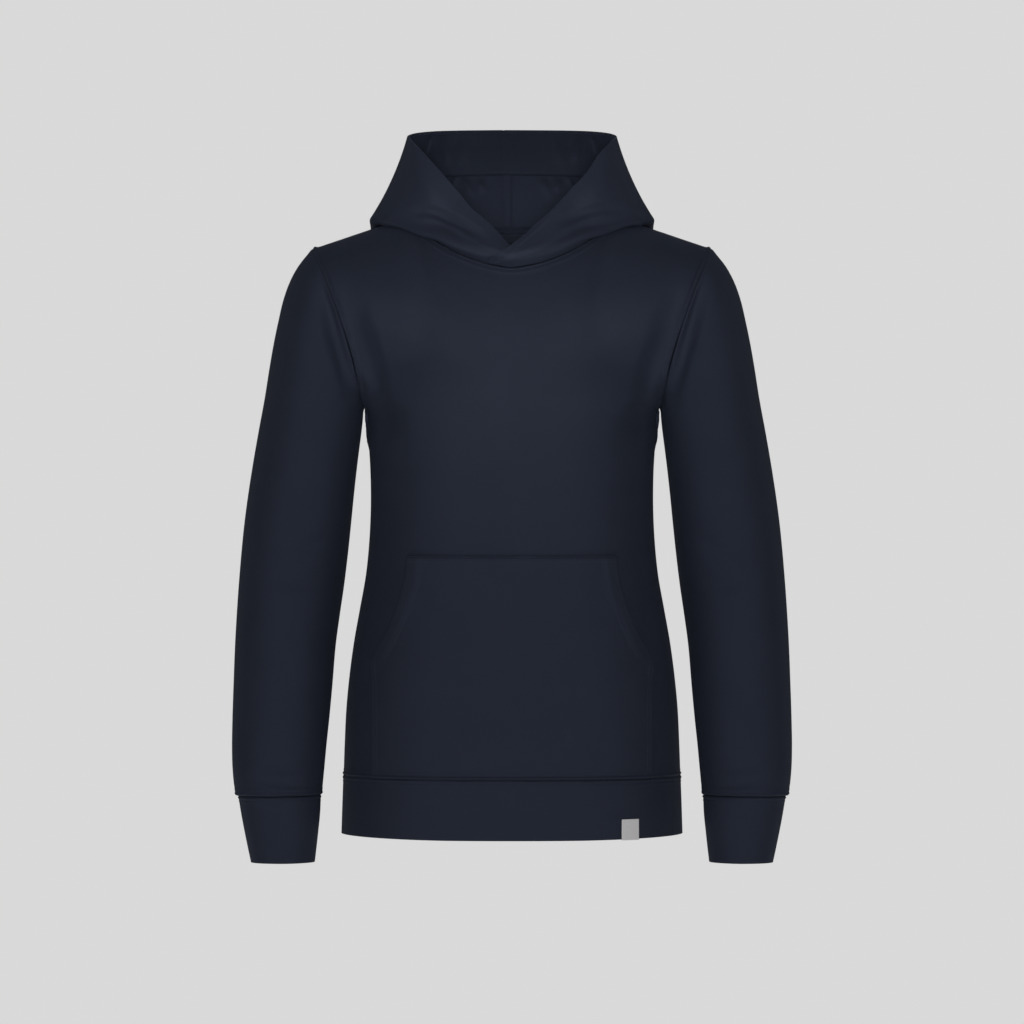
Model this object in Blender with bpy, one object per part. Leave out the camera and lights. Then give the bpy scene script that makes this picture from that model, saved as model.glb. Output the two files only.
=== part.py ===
"""Pullover hoodie with a crossed-over hood, in the open shape that it has when it is worn.

Metres, +Z up, +X to the wearer's left and -Y to the front. The origin lies between the two points where the
shoulder seams meet the neck, which is where a wearer's shoulders carry the garment.

Each piece that is cut and sewn is one closed wall. A wall starts as a grid of points on the cloth's outer face.
Its inner face is the same grid moved in by the cloth's thickness, and neighbours stand a seam gap apart.
"""

import math
from collections import namedtuple

import bpy
import numpy as np
from mathutils import Vector
from mathutils.bvhtree import BVHTree

# Cloth and seams
FLEECE = 0.0022
RIB = 0.0030
HOOD_CLOTH = 0.0026
FACING_CLOTH = 0.0014
TAPE_CLOTH = 0.0010
LABEL_CLOTH = 0.0008
SEAM_GAP = 0.0003
SEAM_SETBACK = 0.7 * SEAM_GAP  # how far the border of a wall is drawn back from the seam line
LAID_GAP = 0.0006

# Body: the panels run from the hem seam, past the armpit, to the shoulder seams and the neck
HEM_Z = -0.6360
HEM_SEAM_Z = -0.5765
BODY_ROUNDNESS = 2.4
Body = namedtuple("Body", "z half_width front back")
BODY = [
    Body(-0.6360, 0.1757, 0.1060, 0.1115),
    Body(-0.5765, 0.1737, 0.1065, 0.1120),
    Body(-0.5000, 0.1703, 0.1070, 0.1100),
    Body(-0.4380, 0.1628, 0.1062, 0.1045),
    Body(-0.3640, 0.1499, 0.1035, 0.0985),
    Body(-0.2940, 0.1456, 0.1045, 0.0995),
    Body(-0.2400, 0.1475, 0.1090, 0.1070),
    Body(-0.1990, 0.1513, 0.1108, 0.1110),
]
LOWER_ROWS = 10
UPPER_ROWS = 11

# Shoulders and neck
NECK_HALF_WIDTH = 0.103
SHOULDER_HALF_WIDTH = 0.206
SHOULDER_DROP = 0.0350
FRONT_NECK_DROP = 0.0575
FRONT_NECK_ROUNDNESS = 1.55
BACK_NECK_DROP = 0.0150
BACK_NECK_ROUNDNESS = 2.0
RIDGE_RISE = 0.0175  # the body's surface would meet over the middle of the neck this far above the origin
FRONT_RISE_ROUNDNESS = 1.6
BACK_RISE_ROUNDNESS = 2.5
FLATTENED_BY = 0.5
ARMPIT_FLATNESS = 0.5
ARMPIT_TIGHTNESS = 7.0
NECK_ANGLES = [0, 13, 26, 40, 54, 66, 78, 90]
SHOULDER_SHARES = [0.58, 0.66, 0.74, 0.82, 0.90, 0.96, 1.0]

# Sleeve: each row is a ring between a point on the outer line of the arm and one on its underside
Ring = namedtuple("Ring", "outer_x outer_z inner_x inner_z mid_y half_depth bow")
SLEEVE = [
    Ring(0.2060, -0.0350, 0.1513, -0.1990, 0.0000, 0.0580, 0.0058),
    Ring(0.2100, -0.0400, 0.1527, -0.2016, 0.0000, 0.0592, 0.0054),
    Ring(0.2202, -0.0530, 0.1535, -0.2090, 0.0005, 0.0612, 0.0044),
    Ring(0.2322, -0.0770, 0.1546, -0.2200, 0.0010, 0.0625, 0.0030),
    Ring(0.2408, -0.1100, 0.1568, -0.2370, 0.0020, 0.0628, 0.0015),
    Ring(0.2478, -0.1450, 0.1596, -0.2590, 0.0035, 0.0620, 0.0005),
    Ring(0.2558, -0.1940, 0.1632, -0.2910, 0.0055, 0.0602, 0.0000),
    Ring(0.2668, -0.2540, 0.1680, -0.3390, 0.0070, 0.0577, 0.0000),
    Ring(0.2774, -0.3310, 0.1740, -0.3890, 0.0055, 0.0548, 0.0000),
    Ring(0.2840, -0.4240, 0.1808, -0.4380, -0.0040, 0.0508, 0.0000),
    Ring(0.2864, -0.4950, 0.1858, -0.5000, -0.0140, 0.0462, 0.0000),
    Ring(0.2872, -0.5450, 0.1900, -0.5430, -0.0220, 0.0422, 0.0000),
    Ring(0.2858, -0.5760, 0.1928, -0.5750, -0.0275, 0.0392, 0.0000),
    Ring(0.2828, -0.5958, 0.1947, -0.5948, -0.0305, 0.0372, 0.0000),
]
CAP_RINGS = [0, 1, 2]
TURN_STEP = 0.01  # in radians, the step to either side from which a direction along the armhole is found
ARM_RINGS = 17
CUFF = [
    Ring(0.2802, -0.5962, 0.1956, -0.5952, -0.0307, 0.0358, 0.0),
    Ring(0.2780, -0.6100, 0.1958, -0.6095, -0.0325, 0.0348, 0.0),
    Ring(0.2733, -0.6340, 0.1980, -0.6340, -0.0360, 0.0328, 0.0),
    Ring(0.2668, -0.6635, 0.2012, -0.6630, -0.0405, 0.0310, 0.0),
]
CUFF_RINGS = 4

# Kangaroo pocket
POCKET_TOP_Z = -0.350
POCKET_SLANT_Z = -0.454
POCKET_TOP_HALF = 0.1053
POCKET_WIDE_HALF = 0.1406
POCKET_SLANT_CURVE = 1.9
POCKET_SLANT_ROWS = 6
POCKET_STRAIGHT_ROWS = 4
POCKET_COLUMNS = 18
POCKET_LIFT = 0.0006
LIFT_STARTS = 0.5  # as a share of the pocket's half width, like the reach and the start of the gape
LIFT_REACH = 0.2
POCKET_GAPE = 0.0014
GAPE_STARTS = 0.7
COLUMN_STEP = 0.01  # small steps to either side, from which the body's slope under the pocket is found
HEIGHT_STEP = 0.002

# Hood: each row is a section from the neck seam to the opening's edge. Angle 0 is the middle of the back and 180 the
# middle of the front. From the back to beside the neck, the cloth first lies on the body as far as the fold.
Fold = namedtuple("Fold", "angle x y z")
HOOD_FOLD = [
    Fold(0, 0.000, 0.113, -0.172),
    Fold(13, 0.028, 0.112, -0.166),
    Fold(26, 0.060, 0.107, -0.150),
    Fold(40, 0.093, 0.092, -0.115),
    Fold(54, 0.118, 0.070, -0.073),
    Fold(66, 0.130, 0.046, -0.040),
    Fold(78, 0.1365, 0.022, -0.020),
    Fold(90, 0.1370, 0.000, -0.012),
    Fold(102, 0.1275, -0.018, -0.011),
    Fold(114, 0.1105, -0.031, -0.0150),
    Fold(126, 0.091, -0.045, -0.0235),
]
Section = namedtuple("Section", "angle roll belly edge_out edge_z")
HOOD = [
    Section(0, 0.0100, 26, 0.0220, 0.0935),
    Section(13, 0.0100, 25, 0.0218, 0.0932),
    Section(26, 0.0100, 22, 0.0210, 0.0925),
    Section(40, 0.0092, 14, 0.0185, 0.0910),
    Section(54, 0.0078, 1, 0.0140, 0.0886),
    Section(66, 0.0062, -6, 0.0095, 0.0860),
    Section(78, 0.0048, -10, 0.0058, 0.0832),
    Section(90, 0.0042, -13, 0.0026, 0.0795),
    Section(102, 0.0044, -15, -0.0005, 0.0728),
    Section(114, 0.0054, -18, -0.0045, 0.0618),
    Section(126, 0.0066, -19, -0.0080, 0.0480),
    Section(140, 0.0075, -22, -0.0110, 0.0280),
    Section(154, 0.0078, -24, -0.0100, 0.0070),
    Section(167, 0.0078, -24, -0.0070, -0.0110),
    Section(180, 0.0078, -24, -0.0040, -0.0170),
]
CROSSED_ANGLES = [173.5, 180, 186.5, 193]
TRIM_ANGLES = [160, 167, 173.5, 180, 186.5, 193]
TRIM_HEIGHTS = [-0.0015, -0.0150, -0.0270, -0.0385, -0.0455, -0.0495]
UNDER_STEPS = 6
ROLL_STEPS = 5
WALL_STEPS = 9
BODY_CLEARANCE = 0.0038  # between the body and the part of the hood that lies on it
LAID_START = 0.0005  # where the hood lies on the body, it starts this far above the neck seam and stands up to
LAID_STAND = 0.0048
FREE_START = 0.0011  # where it stands free, it starts here and leads out and up by
FREE_OUT = 0.0054
FREE_UP = 0.0046
OUT_SHARE = 0.35  # how much the roll turns away from the body rather than towards the opening
HOOD_TURN = 0.09  # the share of the under side at which it has turned to follow the body
OVERLAP_STARTS = 118  # between these angles the upper half moves forward by the lift
OVERLAP_ENDS = 162
OVERLAP_LIFT = 0.0050
FACING_WIDTH = 0.052
FACING_SHARE = 0.85  # where the hood's wall is short, the facing covers no more of it than this
FACING_EDGE = 0.0012
FACING_GAP = 0.0012
FACING_ROWS = 6
FACING_END_ANGLE = 154

# Neck tape and hem label
TAPE_TOP = 0.0008
TAPE_WIDTH = 0.0085
TAPE_ROWS = 2
TAPE_HALF_ANGLE = 78
LABEL_X = 0.1213
LABEL_WIDTH = 0.0185
LABEL_HEIGHT = 0.0215
LABEL_GAP = 0.0007

NAVY = (0.0205, 0.0240, 0.0375, 1.0)
TAPE_NAVY = (0.0260, 0.0300, 0.0450, 1.0)
LABEL_GREY = (0.62, 0.60, 0.61, 1.0)
FLEECE_ROUGHNESS = 0.92
WOVEN_ROUGHNESS = 0.85

UP = np.array([0.0, 0.0, 1.0])


# ---------------------------------------------------------------- tables and grids


def read(table, key, at):
    """Every column of a table at one value of its key column, on a smooth curve through the rows."""
    keys = [getattr(row, key) for row in table]
    values = np.array([list(row) for row in table], float)
    return smooth_curve(np.array(keys, float), values, at)


def smooth_curve(keys, values, at):
    """Cubic through the rows, whose slope at each row is the mean of the slopes on its two sides."""
    steps = np.diff(keys)
    slopes = np.diff(values, axis=0) / steps[:, None]
    ends = np.vstack([slopes[:1], (slopes[:-1] + slopes[1:]) / 2, slopes[-1:]])
    i = int(np.clip(np.searchsorted(keys, at) - 1, 0, len(steps) - 1))
    t = (at - keys[i]) / steps[i]
    start, leave = values[i], ends[i] * steps[i]
    stop, arrive = values[i + 1], ends[i + 1] * steps[i]
    return (
        (2 * t**3 - 3 * t**2 + 1) * start
        + (t**3 - 2 * t**2 + t) * leave
        + (3 * t**2 - 2 * t**3) * stop
        + (t**3 - t**2) * arrive
    )


def unit(v):
    length = np.linalg.norm(v, axis=-1, keepdims=True)
    return v / np.maximum(length, 1e-12)


def eased(share):
    share = min(1.0, max(0.0, share))
    return share * share * (3 - 2 * share)


def normals_of(grid, ring=False):
    """Outward normals of a grid of rows and columns. A ring's last column is followed by its first."""
    if ring:
        across = np.roll(grid, -1, axis=1) - np.roll(grid, 1, axis=1)
    else:
        across = np.gradient(grid, axis=1)
    along = np.gradient(grid, axis=0)
    return unit(np.cross(across, along))


def pulled_in(grid, inner, edges, ring=False):
    """Both faces of a wall, with the rows or columns at the named edges drawn back by half a seam gap."""
    grid, inner = grid.copy(), inner.copy()
    sides = {
        "first_row": (np.s_[0], np.s_[1]),
        "last_row": (np.s_[-1], np.s_[-2]),
        "first_column": (np.s_[:, 0], np.s_[:, 1]),
        "last_column": (np.s_[:, -1], np.s_[:, -2]),
    }
    for edge in edges:
        at, beside = sides[edge]
        line = grid[at]
        if ring:
            along = unit(np.roll(line, -1, axis=0) - np.roll(line, 1, axis=0))
        else:
            along = unit(np.gradient(line, axis=0))
        step = grid[beside] - line
        step = unit(step - along * (step * along).sum(axis=1, keepdims=True)) * SEAM_SETBACK
        grid[at] = line + step
        inner[at] = inner[at] + step
    return grid, inner


def wall(name, outer, inner, material, ring=False):
    """One closed solid between an outer and an inner grid, with rims along the open edges."""
    rows, columns = outer.shape[:2]
    points = np.concatenate([outer.reshape(-1, 3), inner.reshape(-1, 3)])
    half = rows * columns
    faces = []
    last = columns if ring else columns - 1
    for i in range(rows - 1):
        for j in range(last):
            a, b = i * columns + j, i * columns + (j + 1) % columns
            faces.append((a, b, b + columns, a + columns))
            faces.append((half + a, half + a + columns, half + b + columns, half + b))
    for j in range(last):
        a, b = j, (j + 1) % columns
        faces.append((a, half + a, half + b, b))
        a, b = a + half - columns, b + half - columns
        faces.append((a, b, half + b, half + a))
    if not ring:
        for i in range(rows - 1):
            a, b = i * columns, (i + 1) * columns
            faces.append((a, b, half + b, half + a))
            a, b = a + columns - 1, b + columns - 1
            faces.append((a, half + a, half + b, b))
    mesh = bpy.data.meshes.new(name)
    mesh.from_pydata([tuple(p) for p in points], [], faces)
    mesh.shade_smooth()
    mesh.set_sharp_from_angle(angle=math.radians(50))
    piece = bpy.data.objects.new(name, mesh)
    piece.data.materials.append(material)
    garment.objects.link(piece)
    return piece


def tree_of(*grids):
    """The faceted face of one or more grids, for laying other pieces on it."""
    points, faces = [], []
    for grid in grids:
        rows, columns = grid.shape[:2]
        first = len(points)
        points.extend(Vector(p) for p in grid.reshape(-1, 3))
        for i in range(rows - 1):
            for j in range(columns - 1):
                a = first + i * columns + j
                faces.append((a, a + 1, a + columns + 1, a + columns))
    return BVHTree.FromPolygons(points, faces)


def nearest(tree, point):
    """The nearest point of a face and the face's outward direction there."""
    place, normal, _, _ = tree.find_nearest(Vector(point))
    return np.array(place), np.array(normal)


# ---------------------------------------------------------------- body


def shoulder_share(angle):
    """How far out along the shoulder line a column of the panels runs, for an angle round the neck."""
    return NECK_HALF_WIDTH / SHOULDER_HALF_WIDTH * math.sin(math.radians(angle))


HALF_COLUMNS = [shoulder_share(a) for a in NECK_ANGLES] + SHOULDER_SHARES
COLUMNS = np.array([-c for c in HALF_COLUMNS[:0:-1]] + HALF_COLUMNS)


def side_profile(column):
    """1 in the middle of the body and 0 at its side, as the section of a rounded rectangle falls away."""
    return 1 - abs(column) ** BODY_ROUNDNESS


def lower_point(column, z, front):
    """A point of the body's outer face below the armpit."""
    row = Body(*read(BODY, "z", z))
    depth = -row.front if front else row.back
    return np.array(
        [row.half_width * column, depth * math.sqrt(side_profile(column)), z]
    )


def ring_point(row, angle):
    """A point of a sleeve section: 0 degrees is the outer line of the arm, 90 its front, 180 its underside."""
    share = (1 + math.cos(angle)) / 2
    x = row.inner_x + (row.outer_x - row.inner_x) * share - row.bow * math.sin(angle) ** 2
    z = row.inner_z + (row.outer_z - row.inner_z) * share
    return np.array([x, row.mid_y - row.half_depth * math.sin(angle), z])


def top_z(column, front):
    """Height of a panel's top edge: the shoulder seam outside the neck and the neckline inside it."""
    out = abs(column) * SHOULDER_HALF_WIDTH
    if out >= NECK_HALF_WIDTH:
        return -SHOULDER_DROP * (out - NECK_HALF_WIDTH) / (SHOULDER_HALF_WIDTH - NECK_HALF_WIDTH)
    drop, bend = (
        (FRONT_NECK_DROP, FRONT_NECK_ROUNDNESS) if front else (BACK_NECK_DROP, BACK_NECK_ROUNDNESS)
    )
    return -drop * (1 - (out / NECK_HALF_WIDTH) ** bend) ** (1 / bend)


def ridge_z(column):
    """Height at which front and back would meet over this column: the shoulder line, and a hump over the neck."""
    out = abs(column) * SHOULDER_HALF_WIDTH
    if out >= NECK_HALF_WIDTH:
        return top_z(column, True)
    return RIDGE_RISE * (1 - (out / NECK_HALF_WIDTH) ** 2)


def upper_point(column, turn, front):
    """A point of the body's outer face above the armpit. The turn is the armhole's angle, 180 at the armpit."""
    armhole = ring_point(SLEEVE[0], turn)
    rise = (1 + math.cos(turn)) / 2
    foot_z = SLEEVE[0].inner_z
    z = foot_z + (top_z(column, front) - foot_z) * rise
    height = (z - foot_z) / (ridge_z(column) - foot_z)
    roundness = FRONT_RISE_ROUNDNESS if front else BACK_RISE_ROUNDNESS
    narrowing = (1 - min(1.0, height) ** 2) ** (1 / roundness)
    flatness = ARMPIT_FLATNESS + (1 - ARMPIT_FLATNESS) * eased(rise / FLATTENED_BY)
    depth = BODY[-1].front if front else BODY[-1].back
    middle = depth * narrowing * side_profile(column) ** flatness
    crowding = BODY_ROUNDNESS + ARMPIT_TIGHTNESS * (1 - eased(rise / FLATTENED_BY))
    side = SLEEVE[0].half_depth * math.sin(turn) * abs(column) ** crowding
    return np.array([armhole[0] * column, (middle + side) * (-1 if front else 1), z])


TURNS = np.linspace(math.pi, 0.0, UPPER_ROWS + 1)
LOWER_LEVELS = np.linspace(HEM_SEAM_Z, BODY[-1].z, LOWER_ROWS + 2)[:-1]


def panel_grid(front):
    """The outer face of the front or the back, from the hem seam up. Its columns run from left to right as seen
    from outside, so that its faces point outwards."""
    columns = COLUMNS if front else COLUMNS[::-1]
    lower = [[lower_point(c, z, front) for c in columns] for z in LOWER_LEVELS]
    upper = [[upper_point(c, t, front) for c in columns] for t in TURNS]
    return np.array(lower + upper)


def armhole_normals():
    """Outward directions of the cloth round the armhole, in the plane of its ring, from the armpit to the shoulder."""
    found = []
    for turn in TURNS:
        before, after = (ring_point(SLEEVE[0], turn + d) for d in (-TURN_STEP, TURN_STEP))
        row = SLEEVE[0]
        spoke = np.array([row.outer_x - row.inner_x, 0.0, row.outer_z - row.inner_z])
        axis = unit(np.cross(np.array([0.0, 1.0, 0.0]), spoke))
        across = unit(np.cross(after - before, axis))
        centre = (ring_point(row, 0) + ring_point(row, math.pi)) / 2
        outward = np.dot(across, ring_point(row, turn) - centre)
        found.append(across if outward > 0 else -across)
    return np.array(found)


def panel_normals(grid, other, front):
    """Normals of one panel. At the side and shoulder seams they are those of the whole body, and at the armhole
    those of the ring, so that the walls of neighbouring pieces meet face to face."""
    found = normals_of(grid)
    lower = LOWER_ROWS + 1
    along = np.gradient(grid, axis=0)
    for edge, beside in ((0, 1), (-1, -2)):
        partner = other[:, -2 if edge == 0 else 1]
        across = (grid[:, beside] - partner) * (1 if edge == 0 else -1)
        found[:lower, edge] = unit(np.cross(across, along[:, edge]))[:lower]
        side = 1 if (edge == -1) == front else -1
        ring = armhole_normals() * np.array([side, 1 if front else -1, 1])
        found[lower:, edge] = ring
    across = np.gradient(grid, axis=1)[-1]
    seam = other[-2, ::-1] - grid[-2]
    shoulder = np.abs(COLUMNS) * SHOULDER_HALF_WIDTH >= NECK_HALF_WIDTH - 1e-6
    shoulder[[0, -1]] = False
    found[-1, shoulder] = unit(np.cross(across, seam))[shoulder]
    return found


def body_panels():
    """Outer and inner faces of the front and the back."""
    front, back = panel_grid(True), panel_grid(False)
    front_inner = front - panel_normals(front, back, True) * FLEECE
    back_inner = back - panel_normals(back, front, False) * FLEECE
    return (front, front_inner), (back, back_inner)


def make_body():
    (front, front_inner), (back, back_inner) = body_panels()
    seams = ["first_row", "last_row", "first_column", "last_column"]
    wall("front", *pulled_in(front, front_inner, seams), navy)
    wall("back", *pulled_in(back, back_inner, seams), navy)
    return (front, front_inner), (back, back_inner)


def make_hem_band():
    """The double band below the hem seam, one tube all round."""
    levels = np.linspace(HEM_Z, HEM_SEAM_Z, 3)
    rows = []
    for z in levels:
        front = [lower_point(c, z, True) for c in COLUMNS]
        back = [lower_point(c, z, False) for c in COLUMNS[::-1]]
        rows.append(front[:-1] + back[:-1])
    outer = np.array(rows)
    inner = outer - normals_of(outer, ring=True) * RIB
    outer, inner = pulled_in(outer, inner, ["last_row"], ring=True)
    wall("hem_band", outer, inner, navy, ring=True)
    return outer, inner


# ---------------------------------------------------------------- sleeves and cuffs


def ring_row(table, index):
    return Ring(*smooth_curve(np.arange(len(table), dtype=float), np.array(table, float), index))


def ring_turns():
    """Angles round a sleeve ring: the front rows from the shoulder to the armpit, then the back rows up again."""
    down = TURNS[::-1]
    return np.concatenate([down, 2 * math.pi - down[-2:0:-1]])


def tube_grid(table, indices, side):
    """Rings of a sleeve or cuff, the lowest first, turned so that the faces of both arms point outwards."""
    rows = [[ring_point(ring_row(table, i), a) for a in ring_turns()] for i in reversed(indices)]
    grid = np.array(rows)
    return grid[:, ::-1] if side > 0 else grid * np.array([-1, 1, 1])


def make_arm(side, name):
    """The sleeve and the cuff of one arm. The sleeve's top ring is the armhole's, wall to wall."""
    indices = CAP_RINGS + list(np.linspace(CAP_RINGS[-1], len(SLEEVE) - 1, ARM_RINGS + 1)[1:])
    sleeve = tube_grid(SLEEVE, indices, side)
    normals = normals_of(sleeve, ring=True)
    down = armhole_normals()[::-1]
    top = np.concatenate([down, down[-2:0:-1] * np.array([1, -1, 1])])
    normals[-1] = top[::-1] if side > 0 else top * np.array([-1, 1, 1])
    outer, inner = pulled_in(sleeve, sleeve - normals * FLEECE, ["first_row"], ring=True)
    row = SLEEVE[0]
    clear = unit(np.array([side * (row.outer_z - row.inner_z), 0, row.inner_x - row.outer_x])) * SEAM_GAP
    outer[-1] += clear
    inner[-1] += clear
    wall("sleeve_" + name, outer, inner, navy, ring=True)
    cuff = tube_grid(CUFF, np.linspace(0, len(CUFF) - 1, CUFF_RINGS), side)
    faces = pulled_in(cuff, cuff - normals_of(cuff, ring=True) * RIB, ["last_row"], ring=True)
    wall("cuff_" + name, *faces, navy, ring=True)


# ---------------------------------------------------------------- pocket, tape and label


def pocket_half_width(z):
    down = min(1.0, (POCKET_TOP_Z - z) / (POCKET_TOP_Z - POCKET_SLANT_Z))
    return POCKET_TOP_HALF + (POCKET_WIDE_HALF - POCKET_TOP_HALF) * down**POCKET_SLANT_CURVE


def make_pocket(front):
    """The pocket lies on the front. It follows the front's own face, moved out, and gapes a little at the hands."""
    tree = tree_of(front)
    bottom = HEM_SEAM_Z + SEAM_GAP / 2
    slant = np.linspace(POCKET_TOP_Z, POCKET_SLANT_Z, POCKET_SLANT_ROWS + 1)
    straight = np.linspace(POCKET_SLANT_Z, bottom, POCKET_STRAIGHT_ROWS + 1)
    outer, inner = [], []
    for z in list(straight[:0:-1]) + list(slant[::-1]):
        half = pocket_half_width(z)
        hand = math.sin(math.pi * min(1.0, max(0.0, (POCKET_TOP_Z - z) / (POCKET_TOP_Z - POCKET_SLANT_Z))))
        near, far = [], []
        for share in np.linspace(-1, 1, POCKET_COLUMNS + 1):
            row = Body(*read(BODY, "z", z))
            column = share * half / row.half_width
            guess = lower_point(column, z, True)
            place, _ = nearest(tree, guess)
            steps = [lower_point(column + d, z, True) for d in (-COLUMN_STEP, COLUMN_STEP)]
            rises = [lower_point(column, z + d, True) for d in (-HEIGHT_STEP, HEIGHT_STEP)]
            out = unit(np.cross(steps[1] - steps[0], rises[1] - rises[0]))
            lift = LAID_GAP + POCKET_LIFT * eased((abs(share) - LIFT_STARTS) / LIFT_REACH)
            lift += POCKET_GAPE * hand * eased((abs(share) - GAPE_STARTS) / (1 - GAPE_STARTS))
            near.append(place + out * lift)
            far.append(place + out * (lift + FLEECE))
        inner.append(near)
        outer.append(far)
    wall("pocket", np.array(outer), np.array(inner), navy)


def laid_strip(line, normals, reaches, gap, cloth):
    """Two faces of a strip that lies under a line of points, at given distances along it from its first point."""
    steps = np.linalg.norm(np.diff(line, axis=0), axis=1)
    far = np.concatenate([[0], np.cumsum(steps)])
    place = np.stack([np.interp(reaches, far, line[:, k]) for k in range(3)], axis=1)
    out = unit(np.stack([np.interp(reaches, far, normals[:, k]) for k in range(3)], axis=1))
    return place - out * gap, place - out * (gap + cloth)


def make_tape(back, back_inner):
    """A strip of tape that lies on the inside of the back, just below the neck seam."""
    normals = unit(back - back_inner)
    reaches = np.linspace(TAPE_TOP + TAPE_WIDTH, TAPE_TOP, TAPE_ROWS + 1)
    strips = [
        laid_strip(back_inner[::-1, k], normals[::-1, k], reaches, LAID_GAP, TAPE_CLOTH)
        for k, column in enumerate(COLUMNS[::-1])
        if abs(column) <= shoulder_share(TAPE_HALF_ANGLE) + 1e-6
    ]
    faces = [np.array(face).transpose(1, 0, 2) for face in zip(*strips)]
    wall("neck_tape", *faces, tape_navy)


def make_label(band_outer, band_inner):
    """A folded woven tag that hugs the hem: one leaf outside, one inside, joined under the hem."""
    outer_tree, inner_tree = tree_of(band_outer), tree_of(band_inner)
    near, far = [], []
    for x in np.linspace(LABEL_X - LABEL_WIDTH / 2, LABEL_X + LABEL_WIDTH / 2, 4):
        column = x / BODY[0].half_width
        face, out = nearest(outer_tree, lower_point(column, HEM_Z + LABEL_HEIGHT / 2, True))
        out = unit(out * np.array([1, 1, 0]))
        back, _ = nearest(inner_tree, face - out * RIB)
        face, back = (place * np.array([1, 1, 0]) for place in (face, back))
        top, foot = UP * (HEM_Z + LABEL_HEIGHT), UP * (HEM_Z - LABEL_GAP)
        face, back = face + out * LABEL_GAP, back - out * LABEL_GAP
        near.append([face + top, face + foot, back + foot, back + top])
        leaf = out * LABEL_CLOTH
        under = foot - UP * LABEL_CLOTH
        far.append([face + leaf + top, face + leaf + under, back - leaf + under, back - leaf + top])
    wall("hem_label", np.array(far), np.array(near), label_white)


# ---------------------------------------------------------------- hood


def neck_point(angle):
    """A point of the neck's edge. Between the columns of the panels it lies on the straight line between them."""
    front = angle > 90
    folded = min(abs(180 - angle), angle) if front else angle
    after = min(i for i, a in enumerate(NECK_ANGLES) if a >= folded)
    ends = [NECK_ANGLES[max(0, after - 1)], NECK_ANGLES[after]]
    places = [upper_point(shoulder_share(a), 0.0, front) for a in ends]
    share = 0.0 if ends[0] == ends[1] else (folded - ends[0]) / (ends[1] - ends[0])
    place = places[0] + (places[1] - places[0]) * share
    return place * ([-1, 1, 1] if angle > 180 else [1, 1, 1])


def hood_profile(angle, tree):
    """The middle of the hood's cloth along one section, from the neck seam to the opening's edge."""
    folded = min(angle, 360 - angle)
    row = Section(*read(HOOD, "angle", folded))
    edge = neck_point(folded)
    plan = np.array([math.sin(math.radians(folded)), math.cos(math.radians(folded)), 0.0])
    start = edge - plan * HOOD_CLOTH / 2
    if folded <= HOOD_FOLD[-1].angle:
        points = [start + UP * LAID_START, start + UP * (LAID_START + LAID_STAND)]
        fold = Fold(*read(HOOD_FOLD, "angle", folded))
        foot, _ = nearest(tree, fold[1:])
        for share in np.linspace(HOOD_TURN, 1, UNDER_STEPS):
            place, out = nearest(tree, edge + (foot - edge) * share)
            points.append(place + out * (BODY_CLEARANCE + HOOD_CLOTH / 2))
    else:
        out = UP
        shares = [0.0, HOOD_TURN / 2] + list(np.linspace(HOOD_TURN, 1, UNDER_STEPS))
        points = [start + UP * FREE_START + (plan * FREE_OUT + UP * FREE_UP) * share for share in shares]
    opening = edge + plan * row.edge_out
    opening[2] = row.edge_z
    ahead = unit(points[-1] - points[-2])
    aim = unit(opening - points[-1])
    lean = OUT_SHARE * (out - ahead * np.dot(out, ahead)) + aim - ahead * np.dot(aim, ahead)
    away = unit(lean)
    centre = points[-1] + away * row.roll
    aim = opening - centre
    turned = math.atan2(np.dot(aim, away), np.dot(aim, ahead)) % (2 * math.pi)
    leave = turned - math.radians(row.belly)
    for share in np.linspace(0, 1, ROLL_STEPS + 1)[1:]:
        turn = leave * share
        points.append(centre + row.roll * (ahead * math.sin(turn) - away * math.cos(turn)))
    chord = opening - points[-1]
    tangent = ahead * math.cos(leave) + away * math.sin(leave)
    reach = np.linalg.norm(chord) / 3
    arrive = unit(2 * unit(chord) * np.dot(unit(chord), tangent) - tangent)
    handles = points[-1], points[-1] + tangent * reach, opening - arrive * reach, opening
    for t in np.linspace(0, 1, WALL_STEPS + 1)[1:]:
        weights = (1 - t) ** 3, 3 * t * (1 - t) ** 2, 3 * t**2 * (1 - t), t**3
        points.append(sum(w * h for w, h in zip(weights, handles)))
    return np.array(points) * ([-1, 1, 1] if angle > 180 else [1, 1, 1])


def trimmed(points, height):
    """The section cut off at a height, with its points spread anew over what is left."""
    top = len(points) - 1
    while top > 1 and points[top - 1][2] > height:
        top -= 1
    share = (height - points[top - 1][2]) / max(points[top][2] - points[top - 1][2], 1e-9)
    length = min(top - 1 + min(share, 1.0), len(points) - 1)
    places = np.linspace(0, length, len(points))
    whole = np.arange(len(points))
    return np.stack([np.interp(places, whole, points[:, axis]) for axis in range(3)], axis=1)


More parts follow.
